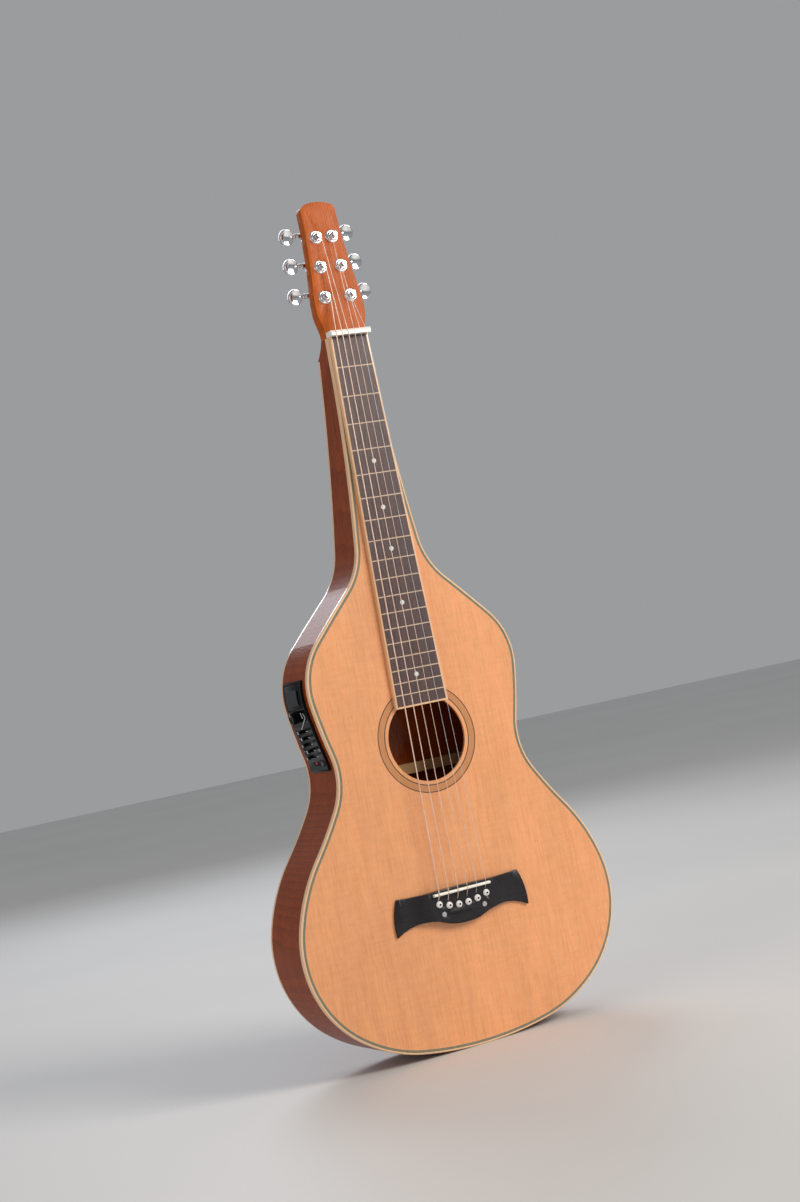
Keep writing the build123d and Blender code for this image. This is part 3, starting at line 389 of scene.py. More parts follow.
GLOSS = {"coat": 0.16, "coat_roughness": 0.07, "sheen_level": 0.1}
FINISHES: dict[str, Union[Timber, Plated, Moulded, Pearl]] = {
    # close straight growth lines, warm orange-pink under lacquer
    "spruce": Timber("lacquered_spruce", "fbb680", "f3a56c", "cf7f45", 1.6, 0.42, 1.0, 0.34, 0.5, 0.10,
                     silk=0.16, ribbon=0.20, roughness=0.42, bump_mm=0.012, coat=0.35, coat_roughness=0.2),
    # deep red-brown with pores and slow ribbons below thick gloss
    "mahogany": Timber("lacquered_mahogany", "a84a0e", "8f3a06", "4a1702", 4.2, 0.30, 1.2, 0.45, 0.45, 0.55,
                       ribbon=0.34, roughness=0.40, bump_mm=0.01, **GLOSS),
    # the same wood in thin oil: brighter orange, its pores open and dull
    "mahogany_neck": Timber("oiled_mahogany", "d2690f", "bb5408", "7c2f02", 3.4, 0.28, 1.0, 0.42, 0.42, 0.62,
                            ribbon=0.26, roughness=0.44, bump_mm=0.02, coat=0.1, coat_roughness=0.2,
                            sheen_level=0.12),
    # pale brown and chalky, never finished, seen only inside
    "mahogany_raw": Timber("sanded_mahogany", "b98a62", "a37248", "6c4426", 4.0, 0.3, 1.2, 0.4, 0.5, 0.6,
                           roughness=0.7),
    # cream and nearly plain, with a bright wet-looking gloss
    "maple": Timber("lacquered_maple", "fcd2a6", "f5c392", "d99a66", 2.6, 0.12, 1.0, 0.14, 0.5, 0.10,
                    roughness=0.34, bump_mm=0.006, coat=0.9, coat_roughness=0.08),
    # flat cream with the grain across, seen only inside
    "maple_raw": Timber("sanded_maple", "e4c9a0", "d8b98c", "b08c5e", 2.4, 0.2, 1.0, 0.2, 0.5, 0.2,
                        roughness=0.65, grain=Grain.ACROSS),
    # a grey-green line, its grain all but lost in the dye
    "purfling": Timber("dyed_purfling", "8d8b72", "77765f", "50503f", 0.8, 0.25, 0.7, 0.4, 0.4, 0.3,
                       roughness=0.35, coat=0.6, coat_roughness=0.1),
    # a thin green-brown line under the same lacquer
    "rosette_line": Timber("dyed_rosette_line", "5d4630", "4a3524", "2a1c12", 0.8, 0.3, 0.7, 0.4, 0.4, 0.3,
                           roughness=0.35, coat=0.6, coat_roughness=0.1),
    # a shade deeper and redder than the soundboard round it
    "rosette_band": Timber("inlaid_cedar_band", "dc9c64", "cf8c54", "a8683a", 1.3, 0.4, 0.8, 0.3, 0.5, 0.2,
                           roughness=0.35, coat=0.6, coat_roughness=0.1),
    # dull tan with soft lines, seen only inside
    "lining": Timber("kerfed_lining", "c99a6a", "b98656", "8a5c36", 2.0, 0.3, 1.0, 0.3, 0.5, 0.3,
                     roughness=0.72),
    # dry straw colour with crisp lines, seen only through the soundhole
    "brace_spruce": Timber("sanded_brace_spruce", "d9ac78", "cb9a66", "a2703f", 1.6, 0.4, 0.9, 0.3, 0.5, 0.1,
                           roughness=0.66, grain=Grain.ACROSS),
    # purple-brown and open-pored, only oiled, so its sheen is broken by the pores
    "rosewood": Timber("oiled_rosewood", "6a5150", "54403f", "2b1d1e", 2.2, 0.45, 0.8, 0.65, 0.42, 0.75,
                       ribbon=0.16, roughness=0.42, bump_mm=0.05),
    # a thin tan line, level with the board and nearly matt
    "fret_inlay": Timber("inlaid_holly_line", "d9bfa4", "cbb094", "9d8468", 0.9, 0.1, 0.7, 0.2, 0.4, 0.1,
                         roughness=0.4, grain=Grain.ACROSS),
    # near-black, buffed, the pores just visible as grey dashes
    "ebony": Timber("buffed_ebony", "2a272b", "1d1b1f", "0c0a0c", 2.6, 0.4, 0.9, 0.5, 0.42, 0.5,
                    roughness=0.30, bump_mm=0.03, coat=0.12, coat_roughness=0.2, sheen_level=0.25,
                    grain=Grain.ACROSS),
    # white with pink and green flashes that shift across each dot
    "pearl": Pearl("polished_white_pearl", "c6c6d0", "faf8f4", "e3ece7", "f1e2e6"),
    # the smoky part of the shell: grey, with small pale flashes
    "grey_pearl": Pearl("polished_grey_pearl", "77777d", "c3c3c4", "93999a", "a89ca0"),
    # off-white and faintly cloudy, with light soaking in at its edges
    "bone": Moulded("polished_bone", "fdfbf5", "f3eee0", 0.22, mottle_mm=5.0, texture_mm=0.4, coat=0.3,
                    inner=0.12, ior=1.56),
    # cleaner and whiter than the bone, with a sharp round highlight
    "pin_ivory": Moulded("turned_pin_plastic", "f7f6f4", "e9e7e2", 0.18, mottle_mm=6.0, coat=0.4, inner=0.1),
    # a small black point with its own tiny highlight
    "pin_dot": Moulded("pin_dot_black", "141416", "232327", 0.2, coat=0.3),
    # dull brass-coloured braid, almost wholly hidden
    "pickup_strip": Plated("braided_pickup", "b9a36a", "8a7a50", 0.4, 0.2),
    # wound strings: pinkish bronze, with painted shade darker between the turns
    "bronze": Plated("wound_phosphor_bronze", "fbe3d4", "eac6ae", 0.42, 0.12, winding_mm=0.55, bump_mm=0.06),
    # a thin cool grey line with a soft highlight along it
    "steel": Plated("plain_string_steel", "eef1f5", "cfd4da", 0.34, 0.1),
    # mirrors the room, with the light panels as hard white shapes and faint smears
    "chrome": Plated("chrome_plate", "e6e7ea", "d3d5da", 0.05, 0.09),
    # near-black, and grey only where the floor shows in it at a shallow angle
    "gloss_black": Moulded("moulded_black_abs", "070709", "0f0f12", 0.16, mottle_mm=9.0, texture_mm=0.9,
                           bump_mm=0.012, ior=1.22),
    # flat black with a fine etched texture, hidden behind the panel
    "case_black": Moulded("etched_black_abs", "17171a", "232327", 0.55, texture_mm=0.4, bump_mm=0.05),
    # dark printed foil with a dull metallic look, seen when the door is open
    "battery_jacket": Plated("printed_battery_jacket", "3a3c44", "23242a", 0.3, 0.15),
    # a small deep red dome with one bright point
    "red_lens": Moulded("red_lamp_lens", "d8221c", "b01410", 0.1, coat=0.8, inner=0.2),
    # soft rubbery black, seen only inside
    "lead_black": Moulded("soft_lead_sheath", "141414", "1f1f20", 0.5, texture_mm=0.5, bump_mm=0.03),
    # matt mid-grey that stands out from the gloss round it
    "button_grey": Moulded("soft_touch_grey", "55565a", "6a6b70", 0.5, texture_mm=0.3),
    # small black blocks whose edges catch a thin highlight
    "slider_black": Moulded("moulded_cap_black", "101012", "1d1d20", 0.2, ior=1.3),
    # flat white ink, slightly uneven; on the slider caps it is also a painted highlight along each cap's edge
    "white_print_and_highlight": Moulded("screen_printed_white_and_highlight", "eceff0", "cfd4d6", 0.35, texture_mm=0.3),
}


class Palette:
    """The guitar's materials, each made once."""

    def __init__(self) -> None:
        """Start with no materials made."""
        self.made: dict[str, bpy.types.Material] = {}

    def of(self, slot: str) -> bpy.types.Material:
        """The material for a slot, made on first use.

        Args:
            slot: Key in the table of finishes.

        Returns:
            The material.
        """
        if slot not in self.made:
            self.made[slot] = FINISHES[slot].make()
        return self.made[slot]


PALETTE = Palette()


# ---------------------------------------------------------------- mesh helpers
def new_piece(name: str, mesh: Mesh, slot: str, body: str = "root", replaced: Iterable[str] = (),
              sharp_degrees: float = 35.0, finish: Optional[str] = None) -> bpy.types.Object:
    """Make one piece of the visual model.

    Args:
        name: Name of the piece.
        mesh: Points and faces, in metres in the CAD's frame.
        slot: Slot of the record that the piece takes its finish from.
        body: CAD body that it rides on.
        replaced: CAD nodes that it stands for.
        sharp_degrees: Edges that bend by more than this stay sharp.
        finish: Key in the table of finishes, where it isn't the slot's own.

    Returns:
        The new object.
    """
    data = bpy.data.meshes.new(name)
    data.from_pydata([tuple(point) for point in mesh[0]], [], mesh[1])
    work = bmesh.new()
    work.from_mesh(data)
    bmesh.ops.recalc_face_normals(work, faces=work.faces)
    work.to_mesh(data)
    work.free()
    data.polygons.foreach_set("use_smooth", [True] * len(data.polygons))
    data.set_sharp_from_angle(angle=radians(sharp_degrees))
    data.materials.append(PALETTE.of(finish or slot))
    obj = bpy.data.objects.new(name, data)
    bpy.context.scene.collection.objects.link(obj)
    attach(obj, body)
    if replaced:
        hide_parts(*replaced)
    LOG.info("%s: %d faces", name, len(data.polygons))
    return obj


def join(parts: Iterable[Mesh]) -> Mesh:
    """Put several meshes into one.

    Args:
        parts: The meshes.

    Returns:
        One mesh with all their points and faces.
    """
    points: list[Vector] = []
    faces: list[tuple[int, ...]] = []
    for part_points, part_faces in parts:
        start = len(points)
        points.extend(part_points)
        faces.extend(tuple(i + start for i in face) for face in part_faces)
    return points, faces


def skinned(rings: Sequence[Sequence[Vector]], looped: bool = False, capped: bool = False) -> Mesh:
    """Skin a stack of rings.

    Args:
        rings: Rings with the same number of points; a ring of one point is a tip.
        looped: Whether the last ring joins the first.
        capped: Whether a flat face closes each end.

    Returns:
        The skin.
    """
    sides = max(len(ring) for ring in rings)
    points: list[Vector] = []
    rows: list[list[int]] = []
    for ring in rings:
        first = len(points)
        points.extend(ring)
        rows.append([first] * sides if len(ring) == 1 else [first + i for i in range(sides)])
    pairs = list(zip(rows, rows[1:])) + ([(rows[-1], rows[0])] if looped else [])
    faces: list[tuple[int, ...]] = []
    for low, high in pairs:
        for i in range(sides):
            j = (i + 1) % sides
            face = tuple(dict.fromkeys((low[i], low[j], high[j], high[i])))
            if len(face) > 2:
                faces.append(face)
    if capped:
        faces += [tuple(rows[0]), tuple(rows[-1])]
    return points, faces


def rings_at(place: Matrix, levels: Sequence[Sequence[float]], sides: int,
             outline: Callable[[float, Sequence[float]], tuple[float, float]]) -> list[list[Vector]]:
    """Rings stacked on an axis, each with its own outline.

    Args:
        place: Where the axis, its local z, stands in the frame.
        levels: For each ring its size, any further values, and its height in millimetres last.
        sides: Points round a ring.
        outline: Gives x and y in millimetres from an angle and a level.

    Returns:
        The rings, with a single point where the size is zero.
    """
    rings = []
    for level in levels:
        if level[0] < 1e-6:
            rings.append([place @ (Vector((0, 0, level[-1])) * MM)])
            continue
        spots = [outline(2 * pi * i / sides, level) for i in range(sides)]
        rings.append([place @ (Vector((x, y, level[-1])) * MM) for x, y in spots])
    return rings


def turned(profile: Profile, place: Matrix, sides: int = 40) -> Mesh:
    """Turn a profile on a lathe.

    Args:
        profile: (radius, height) pairs in millimetres; a closed outline where both ends are off the axis.
        place: Where the lathe's axis, its local z, stands in the frame.
        sides: Faces round the axis.

    Returns:
        The turned mesh, closed.
    """
    rings = rings_at(place, profile, sides,
                     lambda angle, level: (level[0] * cos(angle), level[0] * sin(angle)))
    return skinned(rings, looped=profile[0][0] > 1e-6 and profile[-1][0] > 1e-6)


def round_tube(path: Sequence[Vector], radius_mm: float, sides: int = 14) -> Mesh:
    """Sweep a circle along a path.

    Args:
        path: Points of the path, in metres in the CAD's frame.
        radius_mm: Radius of the tube in millimetres.
        sides: Faces round the tube.

    Returns:
        The tube, with both ends closed.
    """
    rings = []
    side = Vector((1, 0, 0))
    for number, place in enumerate(path):
        tangent = (path[min(number + 1, len(path) - 1)] - path[max(number - 1, 0)]).normalized()
        side = (side - tangent * side.dot(tangent)).normalized()
        other = tangent.cross(side)
        angles = [2 * pi * i / sides for i in range(sides)]
        rings.append([place + (side * cos(a) + other * sin(a)) * radius_mm * MM for a in angles])
    return skinned(rings, capped=True)


def eased_copy(node: str, slot: str, width_mm: float, name: str, body: str = "root", segments: int = 2,
               finish: Optional[str] = None) -> bpy.types.Object:
    """Sand the sharp edges of a CAD node's shape.

    Args:
        node: CAD node whose shape is copied.
        slot: Slot of the record for its finish.
        width_mm: How wide the eased edge is.
        name: Name of the new piece.
        body: CAD body that it rides on.
        segments: Faces across the eased edge.
        finish: Key in the table of finishes, where it isn't the slot's own.

    Returns:
        The new piece, which stands for the node.
    """
    work = bmesh.new()
    work.from_mesh(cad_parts[node].data)
    bmesh.ops.remove_doubles(work, verts=work.verts, dist=WELD)
    bmesh.ops.dissolve_limit(work, angle_limit=FLAT_WITHIN, verts=work.verts, edges=work.edges)
    sharp = [edge for edge in work.edges
             if len(edge.link_faces) == 2 and edge.calc_face_angle(0.0) > SHARP_FROM]
    bmesh.ops.bevel(work, geom=sharp, offset=width_mm * MM, segments=segments, profile=0.5, affect="EDGES",
                    clamp_overlap=True)
    bmesh.ops.remove_doubles(work, verts=work.verts, dist=WELD)
    work.verts.index_update()
    mesh = ([vert.co.copy() for vert in work.verts],
            [tuple(vert.index for vert in face.verts) for face in work.faces])
    work.free()
    return new_piece(name, mesh, slot, body, (node,), 32.0, finish)


def dress(nodes: Iterable[str], slot: str) -> None:
    """Give CAD nodes their material.

    Args:
        nodes: CAD nodes that stay as they are.
        slot: Key in the table of finishes.
    """
    for node in nodes:
        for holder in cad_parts[node].material_slots:
            holder.material = PALETTE.of(slot)
        LOG.info("%s: dressed as %s", node, slot)


# ---------------------------------------------------------------- body
@dataclass(frozen=True)
class Outline:
    """The body's outline: tangent arcs from the tail to the nut, as (radius, turn in degrees)."""
    arcs: tuple[tuple[float, float], ...] = (
        (426.2, 10.54), (168.2, 27.70), (125.6, 67.01), (201.7, 22.36), (-467.5, 6.88), (-79.9, 45.51),
        (527.9, 6.40), (80.3, 51.15), (1680.2, 2.33), (-81.8, 38.31), (-2062.1, 5.65))
    tail_z: float = -174.1
    nut_z: float = 635.0

    def walk(self, step_mm: float = 5.0) -> list[tuple[float, float, float]]:
        """Follow the treble half of the outline.

        Args:
            step_mm: Longest step along an arc.

        Returns:
            Places from tail to nut as (x, z, heading in radians).
        """
        x, z, heading = 0.0, self.tail_z, 0.0
        places = [(x, z, heading)]
        for radius, turn in self.arcs:
            side = 1 if radius > 0 else -1
            centre_x, centre_z = x - sin(heading) * radius, z + cos(heading) * radius
            steps = max(3, round(abs(radius) * radians(turn) / step_mm))
            for i in range(1, steps + 1):
                now = heading + side * radians(turn) * i / steps
                places.append((centre_x + sin(now) * radius, centre_z - cos(now) * radius, now))
            x, z, heading = places[-1]
        run = (self.nut_z - z) / sin(heading)
        steps = round(run / (step_mm * 3))
        places += [(x + cos(heading) * run * i / steps, z + sin(heading) * run * i / steps, heading)
                   for i in range(1, steps + 1)]
        return places

    def at(self, height: float) -> tuple[float, float]:
        """Half-width and heading at a height above the saddle line.

        Args:
            height: Millimetres above the saddle line.

        Returns:
            The half-width in millimetres and the heading in radians.
        """
        places = self.walk(1.0)
        for (x0, z0, h0), (x1, z1, h1) in zip(places, places[1:]):
            if z0 <= height <= z1:
                share = (height - z0) / (z1 - z0)
                return x0 + (x1 - x0) * share, h0 + (h1 - h0) * share
        return places[-1][0], places[-1][2]


OUTLINE = Outline()


def off_bass_side(y: float, z: float, proud: float) -> Vector:
    """A place off the bass side's outer face.

    Args:
        y: Millimetres back from the soundboard's face.
        z: Millimetres above the saddle line.
        proud: Millimetres out from the wood.

    Returns:
        The place in metres in the CAD's frame.
    """
    half, heading = OUTLINE.at(z)
    return spot(-half - sin(heading) * proud, y, z - cos(heading) * proud)


@dataclass(frozen=True)
class Body:
    """Soundboard, back, sides and their trim."""
    front_binding: float = 5.4
    back_binding: float = 5.0
    trim_thickness: float = 2.2
    edge_round: float = 1.5
    back_end: float = 615.0
    back_radius: float = 4415.8
    back_peak: float = 86.15
    back_peak_z: float = -64.87

    def back_at(self, z: float) -> float:
        """How far behind the soundboard's face the back is at a height, in millimetres."""
        return self.back_peak - self.back_radius + sqrt(self.back_radius ** 2 - (z - self.back_peak_z) ** 2)

    def strip(self, section: Callable[[float], list[tuple[float, float]]], top_z: float) -> Mesh:
        """Bend a strip round the whole body from the nut's bass side to its treble side.

        Args:
            section: Closed outline of the strip at a height, as (inset, y) pairs.
            top_z: Height at which the strip ends.

        Returns:
            The strip's mesh.
        """
        half = [place for place in OUTLINE.walk() if place[1] <= top_z]
        end_x, end_heading = OUTLINE.at(top_z)
        half.append((end_x, top_z, end_heading))
        stations = [(-x, z, -heading) for x, z, heading in reversed(half[1:])] + half
        rings = []
        for x, z, heading in stations:
            side = 1 if heading >= 0 else -1
            rings.append([spot(x - side * sin(abs(heading)) * inset, y, z + cos(heading) * inset)
                          for inset, y in section(z)])
        return skinned(rings, capped=True)

    def rounded_corner(self, y: float, inward: int) -> list[tuple[float, float]]:
        """Quarter round of a binding's outer edge.

        Args:
            y: Depth of the binding's face in millimetres.
            inward: Which way the body lies from that face, 1 or -1 along y.

        Returns:
            (inset, y) pairs from the face to the side.
        """
        r = self.edge_round
        return [(r - r * sin(a), y + inward * (r - r * cos(a))) for a in [radians(15 * i) for i in range(7)]]

    def build(self) -> None:
        """Make the rounded bindings and dress the plates, sides and trim."""
        def front(_: float) -> list[tuple[float, float]]:
            """Section of the front binding, the same at every height."""
            return [(self.trim_thickness, 0.0), *self.rounded_corner(0.0, 1), (0.0, self.front_binding),
                    (self.trim_thickness, self.front_binding)]

        def rear(z: float) -> list[tuple[float, float]]:
            """Section of the back binding, which follows the arch."""
            y = self.back_at(z)
            return [(self.trim_thickness, y), *self.rounded_corner(y, -1), (0.0, y - self.back_binding),
                    (self.trim_thickness, y - self.back_binding)]

        new_piece("rounded_front_binding", self.strip(front, OUTLINE.nut_z), "maple",
                  replaced=("top_binding",), sharp_degrees=30.0)
        new_piece("rounded_back_binding", self.strip(rear, self.back_end), "maple",
                  replaced=("back_binding",), sharp_degrees=30.0)
        dress(("soundboard",), "spruce")
        dress(("back_plate", "side_bass", "side_treble"), "mahogany")
        dress(("top_purfling",), "purfling")
        dress(("rosette_lines",), "rosette_line")
        dress(("rosette_band",), "rosette_band")
        dress(("tail_block",), "mahogany_raw")
        dress(("neck_block",), "mahogany")
        dress(("top_linings", "back_linings"), "lining")
        dress(("soundboard_braces", "back_braces"), "brace_spruce")
        dress(("bridge_plate",), "maple_raw")
        dress(("end_jack",), "chrome")
        dress(("pickup_leads",), "lead_black")


# ---------------------------------------------------------------- fingerboard, nut, bridge
@dataclass(frozen=True)
class Playing:
    """Fingerboard, nut, saddle, bridge, pins and strings."""
    saddle_spacing: float = 12.1
    pin_z: tuple[float, ...] = (-10.8, -14.05, -15.45, -15.45, -14.05, -10.8)
    bridge_height: float = 9.0
    pin_head_radius: float = 3.9
    pin_rise: float = 2.4
    pin_dot_radius: float = 1.25

    def pin_heads(self) -> Mesh:
        """Collared, domed pin heads with their shanks."""
        profile = [(0.0, -17.0), (2.5, -16.0), (2.6, 0.0), (3.35, 0.02), (self.pin_head_radius, 0.35),
                   (self.pin_head_radius, 0.95), (3.72, 1.35), (3.3, 2.0), (2.6, 2.6), (1.8, 3.05),
                   (1.3, 3.22), (1.25, 3.05), (0.0, 3.05)]
        return join(turned(profile, self.pin_place(i)) for i in range(6))

    def pin_dots(self) -> Mesh:
        """Black dots let into the pin heads."""
        profile = [(0.0, 2.8), (1.24, 2.8), (1.24, 3.16), (1.0, 3.27), (0.5, 3.34), (0.0, 3.36)]
        return join(turned(profile, self.pin_place(i), 24) for i in range(6))

    def pin_place(self, index: int) -> Matrix:
        """Where a pin's axis stands, pointing out of the bridge."""
        x = (index - 2.5) * self.saddle_spacing
        foot = spot(x, -self.bridge_height, self.pin_z[index])
        return Matrix.Translation(foot) @ Matrix.Rotation(pi / 2, 4, "X")

    def build(self) -> None:
        """Make the eased wooden parts and dress the rest."""
        dress(("fingerboard",), "rosewood")
        dress(("fingerboard_binding",), "maple")
        dress(("fret_lines",), "fret_inlay")
        dress(("position_dots",), "pearl")
        dress(("bridge_dots",), "grey_pearl")
        eased_copy("bridge", "ebony", 0.7, "eased_bridge", segments=3)
        eased_copy("nut", "bone", 0.15, "eased_nut")
        eased_copy("saddle", "bone", 0.5, "eased_saddle", segments=3)
        new_piece("domed_bridge_pins", self.pin_heads(), "pin_ivory", "root", ("bridge_pins",), 40.0)
        new_piece("pin_dots", self.pin_dots(), "pin_ivory", finish="pin_dot")
        dress(("wound_strings",), "bronze")
        dress(("plain_strings",), "steel")
        dress(("saddle_pickup",), "pickup_strip")


# ---------------------------------------------------------------- headstock and tuners
@dataclass(frozen=True)
class Tuners:
    """Headstock and its six enclosed tuners, numbered along the strings from the bass."""
    tilt: float = 3.8
    pivot_z: float = 642.0
    thickness: float = 13.0
    posts: tuple[tuple[float, float], ...] = ((16.25, 40.5), (13.1, 76.2), (10.2, 111.4))
    reach: float = 27.4
    worm_up: float = 8.4
    worm_out: float = -18.5
    post_radius: float = 3.0
    post_top: float = 9.5
    wrap_height: float = 6.2
    string_diameters: tuple[float, ...] = (1.42, 1.17, 0.91, 0.66, 0.46, 0.41)
    button_turns: tuple[float, ...] = (-14.0, -12.0, -18.0, 16.0, 13.0, 18.0)
    screw_drop: float = 9.8

    def face(self) -> Matrix:
        """The headstock's face: local x across, y up the face and z out of it."""
        angle = radians(self.tilt)
        across, up = Vector((1, 0, 0)), Vector((0, sin(angle), cos(angle)))
        out = Vector((0, -cos(angle), sin(angle)))
        turn = Matrix((across, up, out)).transposed().to_4x4()
        return Matrix.Translation(spot(0, 0, self.pivot_z)) @ turn

    def place(self, index: int) -> tuple[int, float, float]:
        """Where a tuner's post stands.

        Args:
            index: Tuner number from 0, along the strings from the bass.

        Returns:
            Its side (-1 bass, 1 treble), x and height up the face in millimetres.
        """
        side = -1 if index < 3 else 1
        x, up = self.posts[index] if index < 3 else self.posts[5 - index]
        return side, side * x, up

    def local(self, x: float, up: float, out: float) -> Matrix:
        """The face's own frame moved to a place on it, in millimetres."""
        return self.face() @ Matrix.Translation(Vector((x, up, out)) * MM)

    def button(self, index: int) -> Mesh:
        """Oval button, dished on both faces, with a waisted neck, and its shaft."""
        side, x, up = self.place(index)
        place = self.local(x + side * self.reach, up + self.worm_up, self.worm_out)
        # faces in (share of the outline, height): a shallow dish inside a full round lip
        rings = [(0.0, 2.0), (0.2, 2.07), (0.4, 2.28), (0.6, 2.63), (0.75, 2.99), (0.84, 3.27), (0.89, 3.34),
                 (0.94, 3.12), (0.98, 2.4), (1.0, 1.2), (1.0, 0.0)]
        levels = rings + [(share, -height) for share, height in reversed(rings[:-1])]

        def egg(angle: float, level: Sequence[float]) -> tuple[float, float]:
            """An oval, fuller at the outer end."""
            across = 8.5 * cos(angle) * (1 + 0.05 * cos(angle))
            along = 9.9 * sin(angle) * (1 - 0.07 * (1 - cos(angle)) / 2)
            return side * across * level[0], along * level[0]

        oval = skinned(rings_at(place, levels, 48, egg))
        outward = Vector((1, 0, 0)) * side
        axis = Matrix.Translation(place.translation) @ outward.to_track_quat("Z", "Y").to_matrix().to_4x4()
        neck = turned([(0.0, -32.4), (1.95, -32.4), (1.95, -11.2), (2.35, -10.9), (2.9, -10.2), (2.9, -9.3),
                       (2.3, -8.8), (2.2, -8.3), (2.6, -7.6), (3.0, -6.2), (2.6, -3.5), (0.0, -3.0)], axis)
        return self.spun(join([oval, neck]), axis, self.button_turns[index])

    @staticmethod
    def spun(mesh: Mesh, axis: Matrix, angle: float) -> Mesh:
        """A mesh turned about an axis by an angle in degrees."""
        turn = axis @ Matrix.Rotation(radians(angle), 4, "Z") @ axis.inverted()
        return [turn @ point for point in mesh[0]], mesh[1]

    def post(self, index: int) -> Mesh:
        """Post with a waist for the string, a cross hole, a grooved top, its wheel and the wound turns."""
        _, x, up = self.place(index)
        radius = self.post_radius
        wire = self.string_diameters[index] / 2
        place = self.local(x, up, 0)
        shaft = turned([(0.0, -22.3), (2.9, -22.3), (3.0, -22.0), (3.0, -20.6), (5.9, -20.5), (6.0, -20.3),
                        (6.0, -16.7), (5.9, -16.5), (3.0, -16.4), (radius, 3.2), (2.86, 3.8), (2.7, 5.0),
                        (2.72, 6.2), (2.9, 7.0), (3.0, 7.5), (3.0, 9.0), (2.75, 9.4), (2.3, 9.5), (1.5, 9.5),
                        (1.35, 9.25), (0.0, 9.2)], place, 36)
        turns = 2.2 if wire > 0.4 else 3.4
        steps = round(turns * 28)
        lift = 2 * wire * 1.03
        path = []
        for i in range(steps + 1):
            angle = pi / 2 + 2 * pi * turns * i / steps
            height = self.wrap_height - lift * turns * i / steps
            reach = radius * 0.95 + wire
            level = max(height, 3.05 + wire)
            path.append(place @ (Vector((reach * cos(angle), reach * sin(angle), level)) * MM))
        tail = [place @ (Vector((wire * 0.2, y, 7.9)) * MM) for y in (3.3, 4.2)]
        return join([shaft, round_tube(path, wire * 0.97, 10), round_tube(tail, min(wire, 0.6), 10)])

    def bushing(self, index: int) -> Mesh:
        """Domed washer and nut round a post, with the sleeve below."""
        _, x, up = self.place(index)
        profile = [(3.05, -10.0), (4.6, -10.0), (4.6, -0.02), (7.75, 0.0), (7.8, 0.3), (7.5, 0.72),
                   (6.8, 0.95), (6.2, 1.0), (6.1, 1.5), (5.8, 2.1), (5.2, 2.6), (4.4, 2.9), (3.6, 2.95),
                   (3.05, 2.7)]
        return turned(profile, self.local(x, up, 0), 56)

    def housing(self, index: int) -> Mesh:
        """Rounded die-cast housing with a screw ear and a collar for the shaft."""
        side, x, up = self.place(index)
        place = self.local(x, up + 3.6, -self.thickness)
        levels = [(0.0, 0.0, 0.0), (1.0, 1.0, 0.0), (1.0, 1.0, -8.6), (0.985, 0.99, -9.7),
                  (0.93, 0.95, -10.5), (0.84, 0.885, -10.95), (0.0, 0.0, -11.0)]

        def cushion(angle: float, level: Sequence[float]) -> tuple[float, float]:
            """A rectangle with bulging sides and round corners."""
            squareness = 0.42
            sign_x = 1 if cos(angle) >= 0 else -1
            sign_y = 1 if sin(angle) >= 0 else -1
            return (7.75 * level[0] * abs(cos(angle)) ** squareness * sign_x,
                    11.0 * level[1] * abs(sin(angle)) ** squareness * sign_y)

        shell = skinned(rings_at(place, levels, 40, cushion))
        outward = Vector((1, 0, 0)) * side
        axis = self.local(x, up + self.worm_up, self.worm_out)
        axis = Matrix.Translation(axis.translation) @ outward.to_track_quat("Z", "Y").to_matrix().to_4x4()
        collar = turned([(2.06, 5.0), (3.5, 5.0), (3.5, 12.6), (3.75, 13.0), (3.75, 14.4), (3.4, 14.8),
                         (3.4, 16.0), (3.0, 16.35), (2.06, 16.35)], axis, 32)
        ear_x, ear_up = x - side * 2.0, up - self.screw_drop
        ear = turned([(1.12, 0.0), (3.0, 0.0), (3.0, -1.6), (2.7, -2.0), (1.12, -2.0)],
                     self.local(ear_x, ear_up, -self.thickness), 28)
        return join([shell, collar, ear])

    def screw(self, index: int) -> Mesh:
        """Pan-head screw with a dished drive recess."""
        side, x, up = self.place(index)
        place = self.local(x - side * 2.0, up - self.screw_drop, -self.thickness)
        profile = [(0.0, 6.5), (1.05, 5.0), (1.1, -2.0), (2.2, -2.02), (2.15, -2.6), (1.7, -3.05),
                   (1.1, -3.2), (0.85, -2.9), (0.3, -2.5), (0.0, -2.45)]
        return turned(profile, place, 24)

    def build(self) -> None:
        """Make the headstock's eased copy and the six tuners."""
        eased_copy("headstock", "mahogany_neck", 1.1, "eased_headstock", segments=3)
        for index in range(6):
            number = index + 1
            button, post = f"button_{number}", f"post_{number}"
            new_piece(f"dished_{button}", self.button(index), "chrome", button, (button,), 40.0)
            new_piece(f"wound_{post}", self.post(index), "chrome", post, (post,), 40.0)
        for name, make, node, sharp in (("domed_bushings", self.bushing, "tuner_bushings", 40.0),
                                        ("cast_housings", self.housing, "tuner_housings", 45.0),
                                        ("pan_head_screws", self.screw, "tuner_screws", 35.0)):
            new_piece(name, join(make(index) for index in range(6)), "chrome", "root", (node,), sharp)


